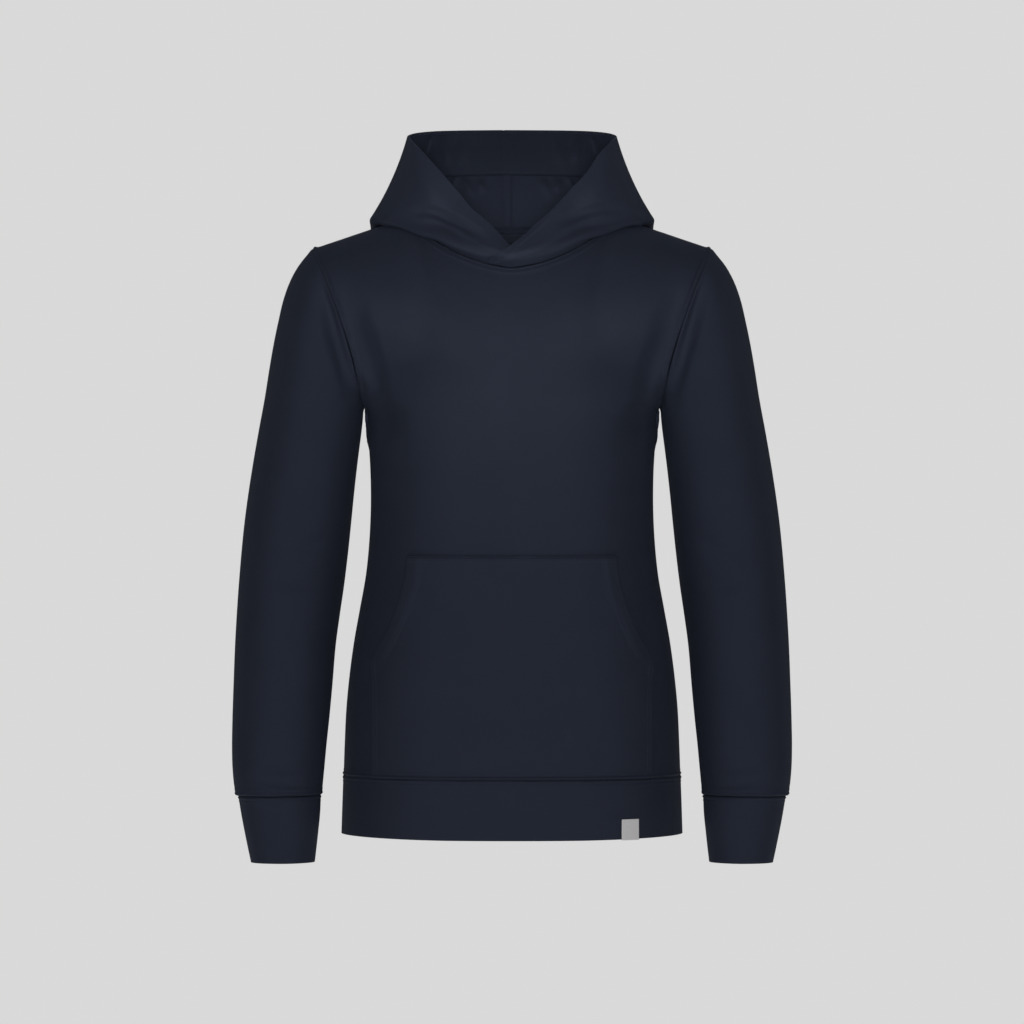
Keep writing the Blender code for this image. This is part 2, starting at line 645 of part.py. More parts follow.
def hood_sheet(side, tree):
    """The middle of one half of the hood and its normals. Rows run from the neck to the edge. Columns run from the
    end of the flap to the back seam on the wearer's left, which lies over the right, where they run the other way."""
    angles = np.array([row.angle for row in HOOD[:-1]] + CROSSED_ANGLES)
    sections = []
    for angle in angles:
        points = hood_profile(angle, tree)
        if angle > TRIM_ANGLES[0]:
            points = trimmed(points, np.interp(angle, TRIM_ANGLES, TRIM_HEIGHTS))
        if angle == 0:
            points[:, 0] = 0.0
        sections.append(points)
    sheet = np.array(sections).transpose(1, 0, 2) * np.array([side, 1, 1])
    if side > 0:
        sheet, angles = sheet[:, ::-1], angles[::-1]
    normals = normals_of(sheet)
    back_seam = angles == 0
    normals[:, back_seam] = unit(normals[:, back_seam] * np.array([0, 1, 1]))
    if side > 0:
        over = [eased((a - OVERLAP_STARTS) / (OVERLAP_ENDS - OVERLAP_STARTS)) for a in angles]
        over = np.array(over)[:, None]
        sheet = sheet - np.array([0, OVERLAP_LIFT, 0]) * over
    return sheet, normals, angles


def facing_strip(section, normals):
    """The strip of facing under one section, from its seam up to just below the opening's edge."""
    reach = np.linalg.norm(np.diff(section[-WALL_STEPS - 1 :], axis=0), axis=1).sum()
    wanted = np.linspace(min(FACING_WIDTH, FACING_SHARE * reach), FACING_EDGE, FACING_ROWS + 1)
    return laid_strip(section[::-1], normals[::-1], wanted, HOOD_CLOTH / 2 + FACING_GAP, FACING_CLOTH)


def make_hood(front, back):
    """Two outer halves that meet in a seam down the middle of the back and cross over at the front, each with a
    facing inside along its part of the opening."""
    tree = tree_of(front, back)
    for side, name in ((1, "left"), (-1, "right")):
        sheet, normals, angles = hood_sheet(side, tree)
        half = normals * HOOD_CLOTH / 2
        seam = "last_column" if side > 0 else "first_column"
        wall("hood_" + name, *pulled_in(sheet + half, sheet - half, [seam]), navy)
        faced = [k for k, angle in enumerate(angles) if angle <= FACING_END_ANGLE]
        strips = [facing_strip(sheet[:, k], normals[:, k]) for k in faced]
        outer, inner = (np.array(face).transpose(1, 0, 2) for face in zip(*strips))
        wall("hood_facing_" + name, *pulled_in(outer, inner, [seam]), navy)


# ---------------------------------------------------------------- scene


def clear_scene():
    for leftover in list(bpy.data.objects):
        bpy.data.objects.remove(leftover)


def cloth(name, colour, roughness):
    made = bpy.data.materials.new(name)
    made.use_nodes = True
    shader = made.node_tree.nodes["Principled BSDF"]
    shader.inputs["Base Color"].default_value = colour
    shader.inputs["Roughness"].default_value = roughness
    shader.inputs["Metallic"].default_value = 0.0
    return made


clear_scene()
garment = bpy.data.collections.new("pullover_hoodie")
bpy.context.scene.collection.children.link(garment)
navy = cloth("navy_fleece", NAVY, FLEECE_ROUGHNESS)
tape_navy = cloth("navy_tape", TAPE_NAVY, WOVEN_ROUGHNESS)
label_white = cloth("woven_label", LABEL_GREY, WOVEN_ROUGHNESS)

(front_face, front_lining), (back_face, back_lining) = make_body()
band_face, band_lining = make_hem_band()
make_arm(1, "left")
make_arm(-1, "right")
make_pocket(front_face)
make_tape(back_face, back_lining)
make_label(band_face, band_lining)
make_hood(front_face, back_face)
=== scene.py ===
# %% [markdown]
# # A pullover hoodie in navy fleece
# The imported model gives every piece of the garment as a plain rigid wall: body, sleeves, bands, pocket
# and hood. This lesson dresses it. Each wall is copied as a fine sheet of cloth that lies on the same
# form, gets its folds and its seams, then its thickness, and at last its knit and its stitches. All sizes
# are in metres.

import math
from collections import namedtuple

import bmesh
import bpy
import numpy as np
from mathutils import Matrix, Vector
from mathutils.bvhtree import BVHTree


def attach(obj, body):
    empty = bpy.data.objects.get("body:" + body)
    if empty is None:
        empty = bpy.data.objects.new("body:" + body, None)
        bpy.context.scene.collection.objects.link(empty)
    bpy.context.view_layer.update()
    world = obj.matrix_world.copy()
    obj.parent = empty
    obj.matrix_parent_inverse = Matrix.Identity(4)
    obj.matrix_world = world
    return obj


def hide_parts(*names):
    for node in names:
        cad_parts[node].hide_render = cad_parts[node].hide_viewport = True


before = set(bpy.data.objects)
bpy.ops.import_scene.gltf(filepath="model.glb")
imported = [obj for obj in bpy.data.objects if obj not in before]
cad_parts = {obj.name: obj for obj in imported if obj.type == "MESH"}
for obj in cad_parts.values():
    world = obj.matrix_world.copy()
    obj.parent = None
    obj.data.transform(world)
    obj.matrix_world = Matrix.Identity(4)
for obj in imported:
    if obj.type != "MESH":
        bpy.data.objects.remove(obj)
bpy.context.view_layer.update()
bpy.ops.object.select_all(action="DESELECT")
MM = 0.001
SIDES = (("left", 1), ("right", -1))  # the wearer's sides, and the way that x runs on each

# %% [markdown]
# ## Camera
# The garment is seen straight from the front, from far away, so that its outline hardly shows any
# perspective. The camera looks level at it, from a little below its middle.

# %% Camera
CAMERA_DISTANCE = 5.2
CAMERA_HEIGHT = -0.3059
CAMERA_LENS = 177.5

bpy.ops.object.camera_add(location=(0, -CAMERA_DISTANCE, CAMERA_HEIGHT), rotation=(math.radians(90), 0, 0))
camera = bpy.context.object
camera.name = "front_camera"
camera.data.lens = CAMERA_LENS
camera.data.clip_end = 50
bpy.context.scene.camera = camera
print("camera", CAMERA_DISTANCE, "m away, lens", CAMERA_LENS, "mm")

# %% [markdown]
# ## From a wall to a sheet
# A sewn piece is one sheet of cloth, but the frame holds it as a closed wall of loose triangles. The
# triangles were made from a net of rows and columns. To find that net again, one face of the wall is
# kept, and each point is numbered by how many steps it lies from two of the sheet's edges. Steps along a
# triangle's slanted side move one row and one column at once, so they don't disturb the count.

# %% One face of a wall
FACE_BREAK = math.radians(62)  # a wall turns more than this where a face meets its rim


def one_face(node, near, rim=0.0):
    """The face of a CAD wall nearest to a point, as a bmesh. The wall's rim has edges no longer than rim."""
    form = bmesh.new()
    form.from_mesh(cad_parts[node].data)
    bmesh.ops.remove_doubles(form, verts=form.verts, dist=1e-6)
    broad = {face for face in form.faces if min(edge.calc_length() for edge in face.edges) > rim}
    start = min(broad, key=lambda face: (face.calc_center_median() - Vector(near)).length)
    found, waiting = {start}, [start]
    while waiting:
        for edge in waiting.pop().edges:
            if edge.calc_face_angle(0) < FACE_BREAK:
                fresh = [face for face in edge.link_faces if face in broad and face not in found]
                found.update(fresh)
                waiting.extend(fresh)
    points = {vertex for face in found for vertex in face.verts}
    rest = [face for face in form.faces if not points.issuperset(face.verts)]
    bmesh.ops.delete(form, geom=rest, context="FACES")
    return form


def steps_from(start):
    """How many edges each vertex lies from a set of vertices."""
    steps = {vertex: 0 for vertex in start}
    ring = list(start)
    while ring:
        beside = [edge.other_vert(vertex) for vertex in ring for edge in vertex.link_edges]
        ring = [vertex for vertex in dict.fromkeys(beside) if vertex not in steps]
        for vertex in ring:
            around = [edge.other_vert(vertex) for edge in vertex.link_edges]
            steps[vertex] = 1 + min(steps[other] for other in around if other in steps)
    return steps


def border_loops(form):
    """The open edges of a sheet as ordered loops of vertices."""
    loops, seen = [], set()
    for vertex in form.verts:
        if not vertex.is_boundary or vertex in seen:
            continue
        loop = []
        while vertex is not None:
            seen.add(vertex)
            loop.append(vertex)
            ends = [edge.other_vert(vertex) for edge in vertex.link_edges if edge.is_boundary]
            vertex = next((end for end in ends if end not in seen), None)
        loops.append(loop)
    return loops


# %% [markdown]
# A panel has one border, so one of its four sides is found by its place and the next one by counting. A
# tube has two borders. It is cut open along a seam, as a sleeve is before it is sewn, and its first
# column is also its last.

# %% The net of points
def panel_net(form, on_side):
    """Rows and columns of points of a panel. The side that on_side(point) finds is row 0."""
    (loop,) = border_loops(form)
    hits = [on_side(vertex.co) for vertex in loop]
    first = next(i for i in range(len(loop)) if hits[i] and not hits[i - 1])
    loop = loop[first:] + loop[:first]
    width = sum(hits)
    height = (len(loop) + 4 - 2 * width) // 2
    row = steps_from(loop[:width])
    column = steps_from(loop[width - 1 : width - 1 + height])
    net = np.zeros((height, width, 3))
    for vertex in form.verts:
        net[row[vertex], column[vertex]] = vertex.co
    return net


def tube_net(form, seam_side):
    """Rows and columns of points of a tube, lowest row first. The seam is where seam_side is least."""
    low = min(border_loops(form), key=lambda loop: sum(vertex.co.z for vertex in loop) / len(loop))
    row = steps_from(low)
    height = max(row.values()) + 1
    seam = [min((v for v in form.verts if row[v] == k), key=lambda v: seam_side(v.co)) for k in range(height)]
    column = steps_from(seam)
    width = len(low)
    net = np.zeros((height, width + 1, 3))
    for vertex in form.verts:
        behind = vertex.co.y > seam[row[vertex]].co.y
        net[row[vertex], (width - column[vertex]) % width if behind else column[vertex]] = vertex.co
    net[:, -1] = net[:, 0]
    return net


def unit(v):
    return v / np.maximum(np.linalg.norm(v, axis=-1, keepdims=True), 1e-12)


def net_normals(net, tube=False):
    """Outward direction at each point: columns run to the right and rows run up, seen from outside."""
    across = np.gradient(net, axis=1)
    if tube:
        across[:, 0] = across[:, -1] = (net[:, 1] - net[:, -2]) / 2
    return unit(np.cross(across, np.gradient(net, axis=0)))


def facing_out(net, form, tube=False):
    """The net with its columns turned round if need be, so that its normals agree with the CAD face."""
    middle = net[net.shape[0] // 2, net.shape[1] // 4]
    vertex = min(form.verts, key=lambda v: (v.co - Vector(middle)).length)
    form.normal_update()
    agrees = net_normals(net, tube)[net.shape[0] // 2, net.shape[1] // 4] @ np.array(vertex.normal)
    return net if agrees > 0 else net[:, ::-1].copy()


# %% [markdown]
# ## A finer net
# Smooth cubic curves run through the CAD's points, first along the columns and then along the rows. The
# points are set close together next to each border, where seams and stitches need them, and about 5 mm
# apart elsewhere.

# %% Refine the net
CLOTH_STEP = 5.0 * MM
RINGS = np.array([0.9, 1.8, 2.9, 4.2, 5.5, 6.7, 7.8, 9.2]) * MM
RING_ROOM = 1.2 * MM  # the evenly set points keep this far from the rings
Sheet = namedtuple("Sheet", "points rows columns tube")  # rows and columns say where the CAD's own lines are


def lengths_along(net, axis):
    """Length along each row or column from its first point to every other, on all lines."""
    steps = np.linalg.norm(np.diff(net, axis=axis), axis=-1)
    return np.insert(np.cumsum(steps, axis=axis), 0, 0, axis=axis)


def between(at, knots, points):
    """Points at the places at, on straight lines between the given ones."""
    return np.stack([np.interp(at, knots, points[:, axis]) for axis in range(3)], axis=-1)


def places(knots, first_rings, last_rings, step=CLOTH_STEP):
    """Where to set points along a line: at its knots, evenly between them, and in rings at its two ends."""
    found = []
    for start, stop in zip(knots[:-1], knots[1:]):
        found.extend(np.linspace(start, stop, math.ceil((stop - start) / step), endpoint=False))
    low = knots[0] + np.array(first_rings)
    high = knots[-1] - np.array(last_rings)
    keep = [p for p in found if low.max(initial=-1) + RING_ROOM < p < high.min(initial=9) - RING_ROOM]
    return np.unique(np.concatenate([knots[[0, -1]], low, keep, high]))


def curve_through(knots, points, at, closed=False):
    """Points on smooth curves at the places at. Each curve runs along the first axis of points."""
    steps = np.diff(knots)[:, None, None]
    slopes = np.diff(points, axis=0) / steps
    share = steps[:-1] / (steps[:-1] + steps[1:])
    inner = slopes[:-1] * (1 - share) + slopes[1:] * share
    if closed:
        share = steps[-1] / (steps[-1] + steps[0])
        first = last = slopes[-1] * (1 - share) + slopes[0] * share
    else:
        first, last = (3 * slopes[0] - inner[0]) / 2, (3 * slopes[-1] - inner[-1]) / 2
    slopes = np.concatenate([first[None], inner, last[None]])
    i = np.clip(np.searchsorted(knots, at, side="right") - 1, 0, len(knots) - 2)
    width = steps[i]
    t = (at - knots[i])[:, None, None] / width
    return (
        (2 * t**3 - 3 * t**2 + 1) * points[i]
        + (t**3 - 2 * t**2 + t) * width * slopes[i]
        + (3 * t**2 - 2 * t**3) * points[i + 1]
        + (t**3 - t**2) * width * slopes[i + 1]
    )


def refined(net, tube=False, bottom=RINGS, top=RINGS, sides=RINGS):
    """A fine sheet through the net's points."""
    up = lengths_along(net, 0).mean(axis=1)
    rows = places(up, bottom, top)
    net = curve_through(up, net, rows)
    across = lengths_along(net, 1).mean(axis=0)
    columns = places(across, [], []) if tube else places(across, sides, sides)
    net = curve_through(across, net.transpose(1, 0, 2), columns, closed=tube).transpose(1, 0, 2)
    return Sheet(net, np.searchsorted(rows, up - 1e-7), np.searchsorted(columns, across - 1e-7), tube)


# %% [markdown]
# ## Body, sleeves, bands and pocket
# These pieces exist as walls with a clear net, so their sheets are read straight from the frame. The body
# panels run from the hem seam up to the neck and shoulders, with the armholes at their sides. Each sleeve
# and cuff is a tube with its seam at the underarm, and the hem band is a tube with its seam at the
# wearer's left side.

# %% Sheets from the walls
def read_panel(node, near, measure, rim=0.0, turned=False):
    """A panel's net. The side where the measure is least is its lower row, or if turned its side column."""
    form = one_face(node, near, rim)
    least = min(measure(vertex.co) for vertex in form.verts)
    net = panel_net(form, lambda point: measure(point) < least + 1 * MM)
    if turned:
        net = net.transpose(1, 0, 2)
        net = net if net[0, :, 2].mean() < net[-1, :, 2].mean() else net[::-1]
    return facing_out(net, form)


def read_tube(node, near, measure, rim=0.0):
    form = one_face(node, near, rim)
    return facing_out(tube_net(form, measure), form, tube=True)


WALL_EDGE = 2.75 * MM
front_net = read_panel("front", (0, -0.2, -0.3), lambda p: p.z, WALL_EDGE)
back_net = read_panel("back", (0, 0.2, -0.35), lambda p: p.z, WALL_EDGE)


def from_border(points, tube=False):
    """How far each point is from the border, measured along the net's lines."""
    away = np.minimum(lengths_along(points, 0), lengths_along(points[::-1], 0)[::-1])
    if tube:
        return away
    return np.minimum(away, np.minimum(lengths_along(points, 1), lengths_along(points[:, ::-1], 1)[:, ::-1]))


STILL_BORDER = 4 * MM  # smoothing leaves the cloth alone up to here
FREEING = 12 * MM  # and takes full hold this much further in
CLOSEST = 0.5 * MM


def softened(sheet, rounds=150, shrink=0.5, swell=-0.51):
    """The sheet with faint kinks smoothed away. Every other pass swells what the last one shrank."""
    points = sheet.points
    free = np.clip((from_border(points)[1:-1, 1:-1, None] - STILL_BORDER) / FREEING, 0, 1)
    for _ in range(rounds):
        for pull in (shrink, swell):
            inside, total, weight = points[1:-1, 1:-1], 0, 0
            for beside in (points[:-2, 1:-1], points[2:, 1:-1], points[1:-1, :-2], points[1:-1, 2:]):
                near = 1 / np.maximum(np.linalg.norm(beside - inside, axis=-1, keepdims=True), CLOSEST)
                total, weight = total + near * beside, weight + near
            points[1:-1, 1:-1] = inside + pull * free * (total / weight - inside)
    return sheet


front = softened(refined(front_net))
back = softened(refined(back_net))
pocket = refined(read_panel("pocket", (0, -0.3, -0.45), lambda p: p.z))
hem_band = refined(read_tube("hem_band", (0, -0.3, -0.6), lambda p: -p.x), tube=True)
sleeves, cuffs = {}, {}
for side, way in SIDES:
    sleeve_net = read_tube("sleeve_" + side, (0.4 * way, 0, -0.3), lambda p: abs(p.x), WALL_EDGE)
    cuff_net = read_tube("cuff_" + side, (0.4 * way, 0, -0.63), lambda p: abs(p.x))
    sleeves[side], cuffs[side] = refined(sleeve_net, tube=True), refined(cuff_net, tube=True)
tape = refined(read_panel("neck_tape", (0, 0, -0.02), lambda p: -p.x, 1.25 * MM, turned=True), sides=[])
print("front", front.points.shape, "sleeve", sleeves["left"].points.shape, "band", hem_band.points.shape)

# %% [markdown]
# ## Hood
# The hood is drawn afresh, section by section, because a rolled cloth needs its true curve. Each section
# starts at the neck seam, lies on the body as far as the fold, turns over in a small roll and climbs to
# the opening's edge. The numbers are those of the solid hood: where the fold lies, the roll's radius, how
# much the wall bellies out, and where the edge is. Angle 0 is the middle of the back and 180 the middle
# of the front.

# %% Hood sections
HOOD_CLOTH = 2.6 * MM
FOLD_POINTS = np.array([
    (0.000, 0.113, -0.172), (0.028, 0.112, -0.166), (0.060, 0.107, -0.150), (0.093, 0.092, -0.115),
    (0.118, 0.070, -0.073), (0.130, 0.046, -0.040), (0.1365, 0.022, -0.020), (0.1370, 0.000, -0.012),
    (0.1275, -0.018, -0.011), (0.1105, -0.031, -0.0150), (0.091, -0.045, -0.0235),
])
SECTION_ANGLES = np.array([0, 13, 26, 40, 54, 66, 78, 90, 102, 114, 126, 140, 154, 167, 180.0])
FOLD_ANGLES, NECK_ANGLES = SECTION_ANGLES[:11], SECTION_ANGLES[:8]
SECTION_FORMS = np.array([  # roll radius, belly in degrees, how far out and how high the edge is
    (0.0100, 26, 0.0220, 0.0935), (0.0100, 25, 0.0218, 0.0932), (0.0100, 22, 0.0210, 0.0925),
    (0.0092, 14, 0.0185, 0.0910), (0.0078, 1, 0.0140, 0.0886), (0.0062, -6, 0.0095, 0.0860),
    (0.0048, -10, 0.0058, 0.0832), (0.0042, -13, 0.0026, 0.0795), (0.0044, -15, -0.0005, 0.0728),
    (0.0054, -18, -0.0045, 0.0618), (0.0066, -19, -0.0080, 0.0480), (0.0075, -22, -0.0110, 0.0280),
    (0.0078, -24, -0.0100, 0.0070), (0.0078, -24, -0.0070, -0.0110), (0.0078, -24, -0.0040, -0.0170),
])
HOOD_ANGLES = np.concatenate([SECTION_ANGLES[:-1], [173.5, 180, 186.5, 193]])
UNDER_STEPS, ROLL_STEPS, WALL_STEPS = 14, 12, 24
NECK_STAND = (0.5 * MM, 5.3 * MM)  # at the neck seam the cloth first stands up by this
UNDER_START = 0.09  # and then lies on the body, from this share of the way to the fold
OFF_BODY = 1.4 * MM  # with this much room under it
FLAP_STAND, FLAP_OUT, FLAP_UP = 1.1, 5.4, 4.6  # in millimetres: the foot of the flaps, which have no fold
ROLL_LEAN = 0.35  # how much the roll leans away from the body


def as_tree(*sheets):
    """The surface of one or more sheets, for laying other pieces on it."""
    points, faces = [], []
    for sheet in sheets:
        rows, columns = sheet.points.shape[:2]
        corner = len(points) + (np.arange(rows - 1)[:, None] * columns + np.arange(columns - 1)).ravel()
        points.extend(Vector(p) for p in sheet.points.reshape(-1, 3))
        faces.extend(np.stack([corner, corner + 1, corner + columns + 1, corner + columns], axis=1).tolist())
    return BVHTree.FromPolygons(points, faces)


def nearest(tree, point):
    place, normal = tree.find_nearest(Vector(point))[:2]
    return np.array(place), np.array(normal)


body_tree = as_tree(front, back)
half = len(NECK_ANGLES)
middle = back_net.shape[1] // 2
neck_back = sorted(back_net[-1], key=lambda p: p[0])[middle : middle + half]
neck_front = sorted(front_net[-1], key=lambda p: p[0])[middle : middle + half]
neck_angles = np.concatenate([NECK_ANGLES, 180 - NECK_ANGLES[-2::-1]])
neck_points = np.array(neck_back + neck_front[-2::-1])


def read(angles, values, at):
    """A row of a table at any angle, on smooth curves through its rows."""
    return curve_through(angles, values[:, None, :], np.array([float(at)]))[0, 0]


def hood_section(angle):
    """The middle of the hood's cloth from the neck seam to the opening's edge, at one angle."""
    folded = min(angle, 360 - angle)
    roll, belly, edge_out, edge_z = read(SECTION_ANGLES, SECTION_FORMS, folded)
    edge = read(neck_angles, neck_points, folded)
    plan = np.array([math.sin(math.radians(folded)), math.cos(math.radians(folded)), 0.0])
    start = edge - plan * HOOD_CLOTH / 2
    if folded <= FOLD_ANGLES[-1]:
        points = [start + [0, 0, height] for height in NECK_STAND]
        foot, _ = nearest(body_tree, read(FOLD_ANGLES, FOLD_POINTS, folded))
        for share in np.linspace(UNDER_START, 1, UNDER_STEPS):
            place, out = nearest(body_tree, edge + (foot - edge) * share)
            points.append(place + out * (OFF_BODY + HOOD_CLOTH / 2))
    else:
        out = np.array([0, 0, 1.0])
        shares = [0.0, UNDER_START / 2] + list(np.linspace(UNDER_START, 1, UNDER_STEPS))
        foot = start + out * FLAP_STAND * MM
        points = [foot + (plan * FLAP_OUT + out * FLAP_UP) * MM * share for share in shares]
    opening = edge + plan * edge_out
    opening[2] = edge_z
    ahead = unit(points[-1] - points[-2])
    aim = unit(opening - points[-1])
    away = unit(ROLL_LEAN * (out - ahead * (out @ ahead)) + aim - ahead * (aim @ ahead))
    centre = points[-1] + away * roll
    aim = opening - centre
    leave = math.atan2(aim @ away, aim @ ahead) % (2 * math.pi) - math.radians(belly)
    for turn in leave * np.linspace(0, 1, ROLL_STEPS + 1)[1:]:
        points.append(centre + roll * (ahead * math.sin(turn) - away * math.cos(turn)))
    chord = opening - points[-1]
    tangent = ahead * math.cos(leave) + away * math.sin(leave)
    reach = np.linalg.norm(chord) / 3
    arrive = unit(2 * unit(chord) * (unit(chord) @ tangent) - tangent)
    handles = np.array([points[-1], points[-1] + tangent * reach, opening - arrive * reach, opening])
    for t in np.linspace(0, 1, WALL_STEPS + 1)[1:]:
        points.append(np.array([(1 - t) ** 3, 3 * t * (1 - t) ** 2, 3 * t**2 * (1 - t), t**3]) @ handles)
    return np.array(points) * ([-1, 1, 1] if angle > 180 else [1, 1, 1])


# %% [markdown]
# At the front the two halves cross over. Past the middle each section is cut off lower and lower, which
# gives the slanted front edge of the flap, and the wearer's left flap is moved forward so that it lies
# over the right one.

# %% Hood halves
TRIM_ANGLES = [126, 140, 154, 167, 173.5, 180, 186.5, 193]
TRIM_HEIGHTS = {  # where the front edge of the upper flap and of the lower one is cut off
    1: np.array([43.0, 22.0, 1.0, -17.0, -27.0, -36.5, -45.5, -52.0]) * MM,
    -1: np.array([47.0, 27.0, 5.5, -11.5, -23.0, -36.0, -44.0, -50.5]) * MM,
}
OVERLAP_LIFT = 6.0 * MM  # the upper flap lies this much further forward
PARTING_FROM, PARTING_SPAN = 118, 44  # the degrees where the flaps begin to part, and over how many
RIM_LIFT = 1.5 * MM  # the free edge of the upper flap stands up by this, and that of the lower one
RIM_DROP = 2.0 * MM  # is pressed down by this
TUCKED_IN = np.array([0, 2.0, 4.0]) * MM  # the hidden corner of the lower flap lies further in by this


def cut_off(points, height):
    """The section up to a height, with its points spread anew over what is left."""
    top = len(points) - 1
    while top > 1 and points[top - 1][2] > height:
        top -= 1
    share = (height - points[top - 1][2]) / max(points[top][2] - points[top - 1][2], 1e-9)
    at = np.linspace(0, min(top - 1 + min(share, 1.0), len(points) - 1), len(points))
    return between(at, np.arange(len(points)), points)


def hood_half(way):
    """The middle of one half: rows from the neck to the edge, columns to the right seen from outside."""
    sections = []
    for angle in HOOD_ANGLES:
        section = hood_section(angle)
        if angle >= TRIM_ANGLES[0]:
            section = cut_off(section, np.interp(angle, TRIM_ANGLES, TRIM_HEIGHTS[way]))
        if angle == 0:
            section[:, 0] = 0
        t = np.clip((angle - PARTING_FROM) / PARTING_SPAN, 0, 1)
        t *= t * (3 - 2 * t)
        wall_share = np.clip(np.linspace(1 - len(section) / WALL_STEPS, 1, len(section)), 0, 1) ** 2
        section[:, 2] += t * wall_share * (RIM_LIFT if way > 0 else -RIM_DROP)
        if way > 0:
            section[:, 1] -= OVERLAP_LIFT * t
        elif angle > 180:
            section += TUCKED_IN * (angle - 180) / (TRIM_ANGLES[-1] - 180)
        sections.append(section * [way, 1, 1])
    net = np.array(sections).transpose(1, 0, 2)
    return net[:, ::-1] if way > 0 else net


def even_rows(net, steps):
    """The net with its rows spread anew: evenly along each column, and with rings at the ends."""
    lengths = lengths_along(net, 0)
    columns = [between(steps * lengths[-1, k], lengths[:, k], net[:, k]) for k in range(net.shape[1])]
    return np.stack(columns, axis=1)


hood_middles = {side: hood_half(way) for side, way in SIDES}
print("hood half", hood_middles["left"].shape)

# %% [markdown]
# ## Making cloth from a net
# A sheet of cloth starts as a flat grid with as many rows and columns as its net. Its vertices are then
# laid on the net. The UV map holds metres: across from the middle column and up from the lowest row, so
# the knit keeps its real size everywhere, and its columns of stitches run into the side seams as they do
# on a cut panel. Solidify gives the cloth its thickness towards the inside, and a small bevel rounds the
# cut or folded edges.

# %% Cloth from a net
EDGE_ANGLE = math.radians(60)
SEAM_CLOSED = 0.14 * MM  # a border is moved out by this, into the 0.3 mm gap between two walls at a seam
WELD = 0.001 * MM
made = {}  # every piece by its name
STANDS_FOR, CUTS = {}, {}  # the CAD node and the net of each piece of cloth


def flat_lengths(net):
    """Each point's place in metres on the flat cloth, from the middle column and the first row."""
    across = lengths_along(net, 1)
    across = across - across[:, across.shape[1] // 2][:, None]
    return np.stack([across, lengths_along(net, 0)], axis=-1)


def sew_cloth(name, node, points, thickness, edge, tube=False, inner=None):
    """A closed piece of cloth with a net of points as its outer face. The inner face may be given as well."""
    rows, columns = points.shape[:2]
    bpy.ops.object.select_all(action="DESELECT")
    bpy.ops.mesh.primitive_grid_add(x_subdivisions=columns - 1, y_subdivisions=rows - 1, size=1)
    piece = bpy.context.object
    piece.name = piece.data.name = name
    mesh = piece.data
    mesh.vertices.foreach_set("co", points.reshape(-1))
    corners = np.empty(len(mesh.loops), dtype=np.int32)
    mesh.loops.foreach_get("vertex_index", corners)
    mesh.uv_layers[0].name = "cloth"
    mesh.uv_layers["cloth"].uv.foreach_set("vector", flat_lengths(points).reshape(-1, 2)[corners].reshape(-1))
    if tube:
        bpy.ops.object.mode_set(mode="EDIT")
        bpy.ops.mesh.select_all(action="SELECT")
        bpy.ops.mesh.remove_doubles(threshold=WELD)
        bpy.ops.object.mode_set(mode="OBJECT")
    wall = piece.modifiers.new("thickness", "SOLIDIFY")
    wall.thickness = thickness
    wall.offset = -1
    wall.use_quality_normals = True
    wall.material_offset = 1
    bpy.ops.object.modifier_apply(modifier="thickness")
    if inner is not None:
        mesh.vertices.foreach_set("co", np.concatenate([points.reshape(-1), inner.reshape(-1)]))
    rounded = piece.modifiers.new("rounded", "BEVEL")
    rounded.width = edge
    rounded.segments = 3
    rounded.limit_method = "ANGLE"
    rounded.angle_limit = EDGE_ANGLE
    bpy.ops.object.modifier_apply(modifier="rounded")
    bpy.ops.object.shade_smooth()
    made[name], STANDS_FOR[name], CUTS[name] = piece, node, points
    print(name, len(mesh.polygons), "faces")


# %% [markdown]
# ## Seams and folds as relief
# A seam shows as a line that sinks in where two pieces meet, with a soft ridge beside it where the seam
# allowance lies underneath and the needle rows press the cloth down. That is a height that depends only
# on how far a point lies from the seam line, so one table of distances and heights describes each kind of
# seam.

# %% Relief along a line
def along(points, line):
    """How far each point lies from a line, and how far along the line that is."""
    best = np.full(points.shape[:-1], np.inf)
    place = np.zeros(points.shape[:-1])
    before = 0.0
    for start, stop in zip(line[:-1], line[1:]):
        step = stop - start
        size = math.sqrt(step @ step) + 1e-12
        share = np.clip((points - start) @ step / size**2, 0, 1)
        away = np.linalg.norm(points - start - share[..., None] * step, axis=-1)
        nearer = away < best
        best[nearer] = away[nearer]
        place[nearer] = before + share[nearer] * size
        before += size
    return best, place


WAVES = ((0.0087, 0.9, 1.7), (0.0143, 1.0, 0.6), (0.0317, 1.1, 2.9), (0.071, 0.8, 4.2))  # length, size, start
WAVE_TOTAL = 3.8
SEED_TURN = 1.9


def uneven(place, seed):
    """A soft irregular wave between -1 and 1 along a seam, the same each time."""
    turns = 2 * math.pi * place
    waves = (size * np.sin(turns / length + start + SEED_TURN * seed) for length, size, start in WAVES)
    return sum(waves) / WAVE_TOTAL


def relief(points, line, profile, seed=0, pucker=0.35):
    """Heights beside a seam. The profile is pairs of distance and height in millimetres."""
    distance, place = along(points, line)
    far, high = np.array(profile).T * MM
    return np.interp(distance, far, high, right=0.0) * (1 + pucker * uneven(place, seed))


def moved(net, heights, tube=False):
    return net + net_normals(net, tube) * heights[..., None]


def shaped(net, heights, tube=False):
    """The net with its relief, and with its border moved out so that little light passes at a seam."""
    points = moved(net, heights, tube)
    wider = points.copy()
    for end, next_in in ((0, 1), (-1, -2)):
        wider[end] += unit(points[end] - points[next_in]) * SEAM_CLOSED
        if not tube:
            wider[:, end] += unit(points[:, end] - points[:, next_in]) * SEAM_CLOSED
    return wider
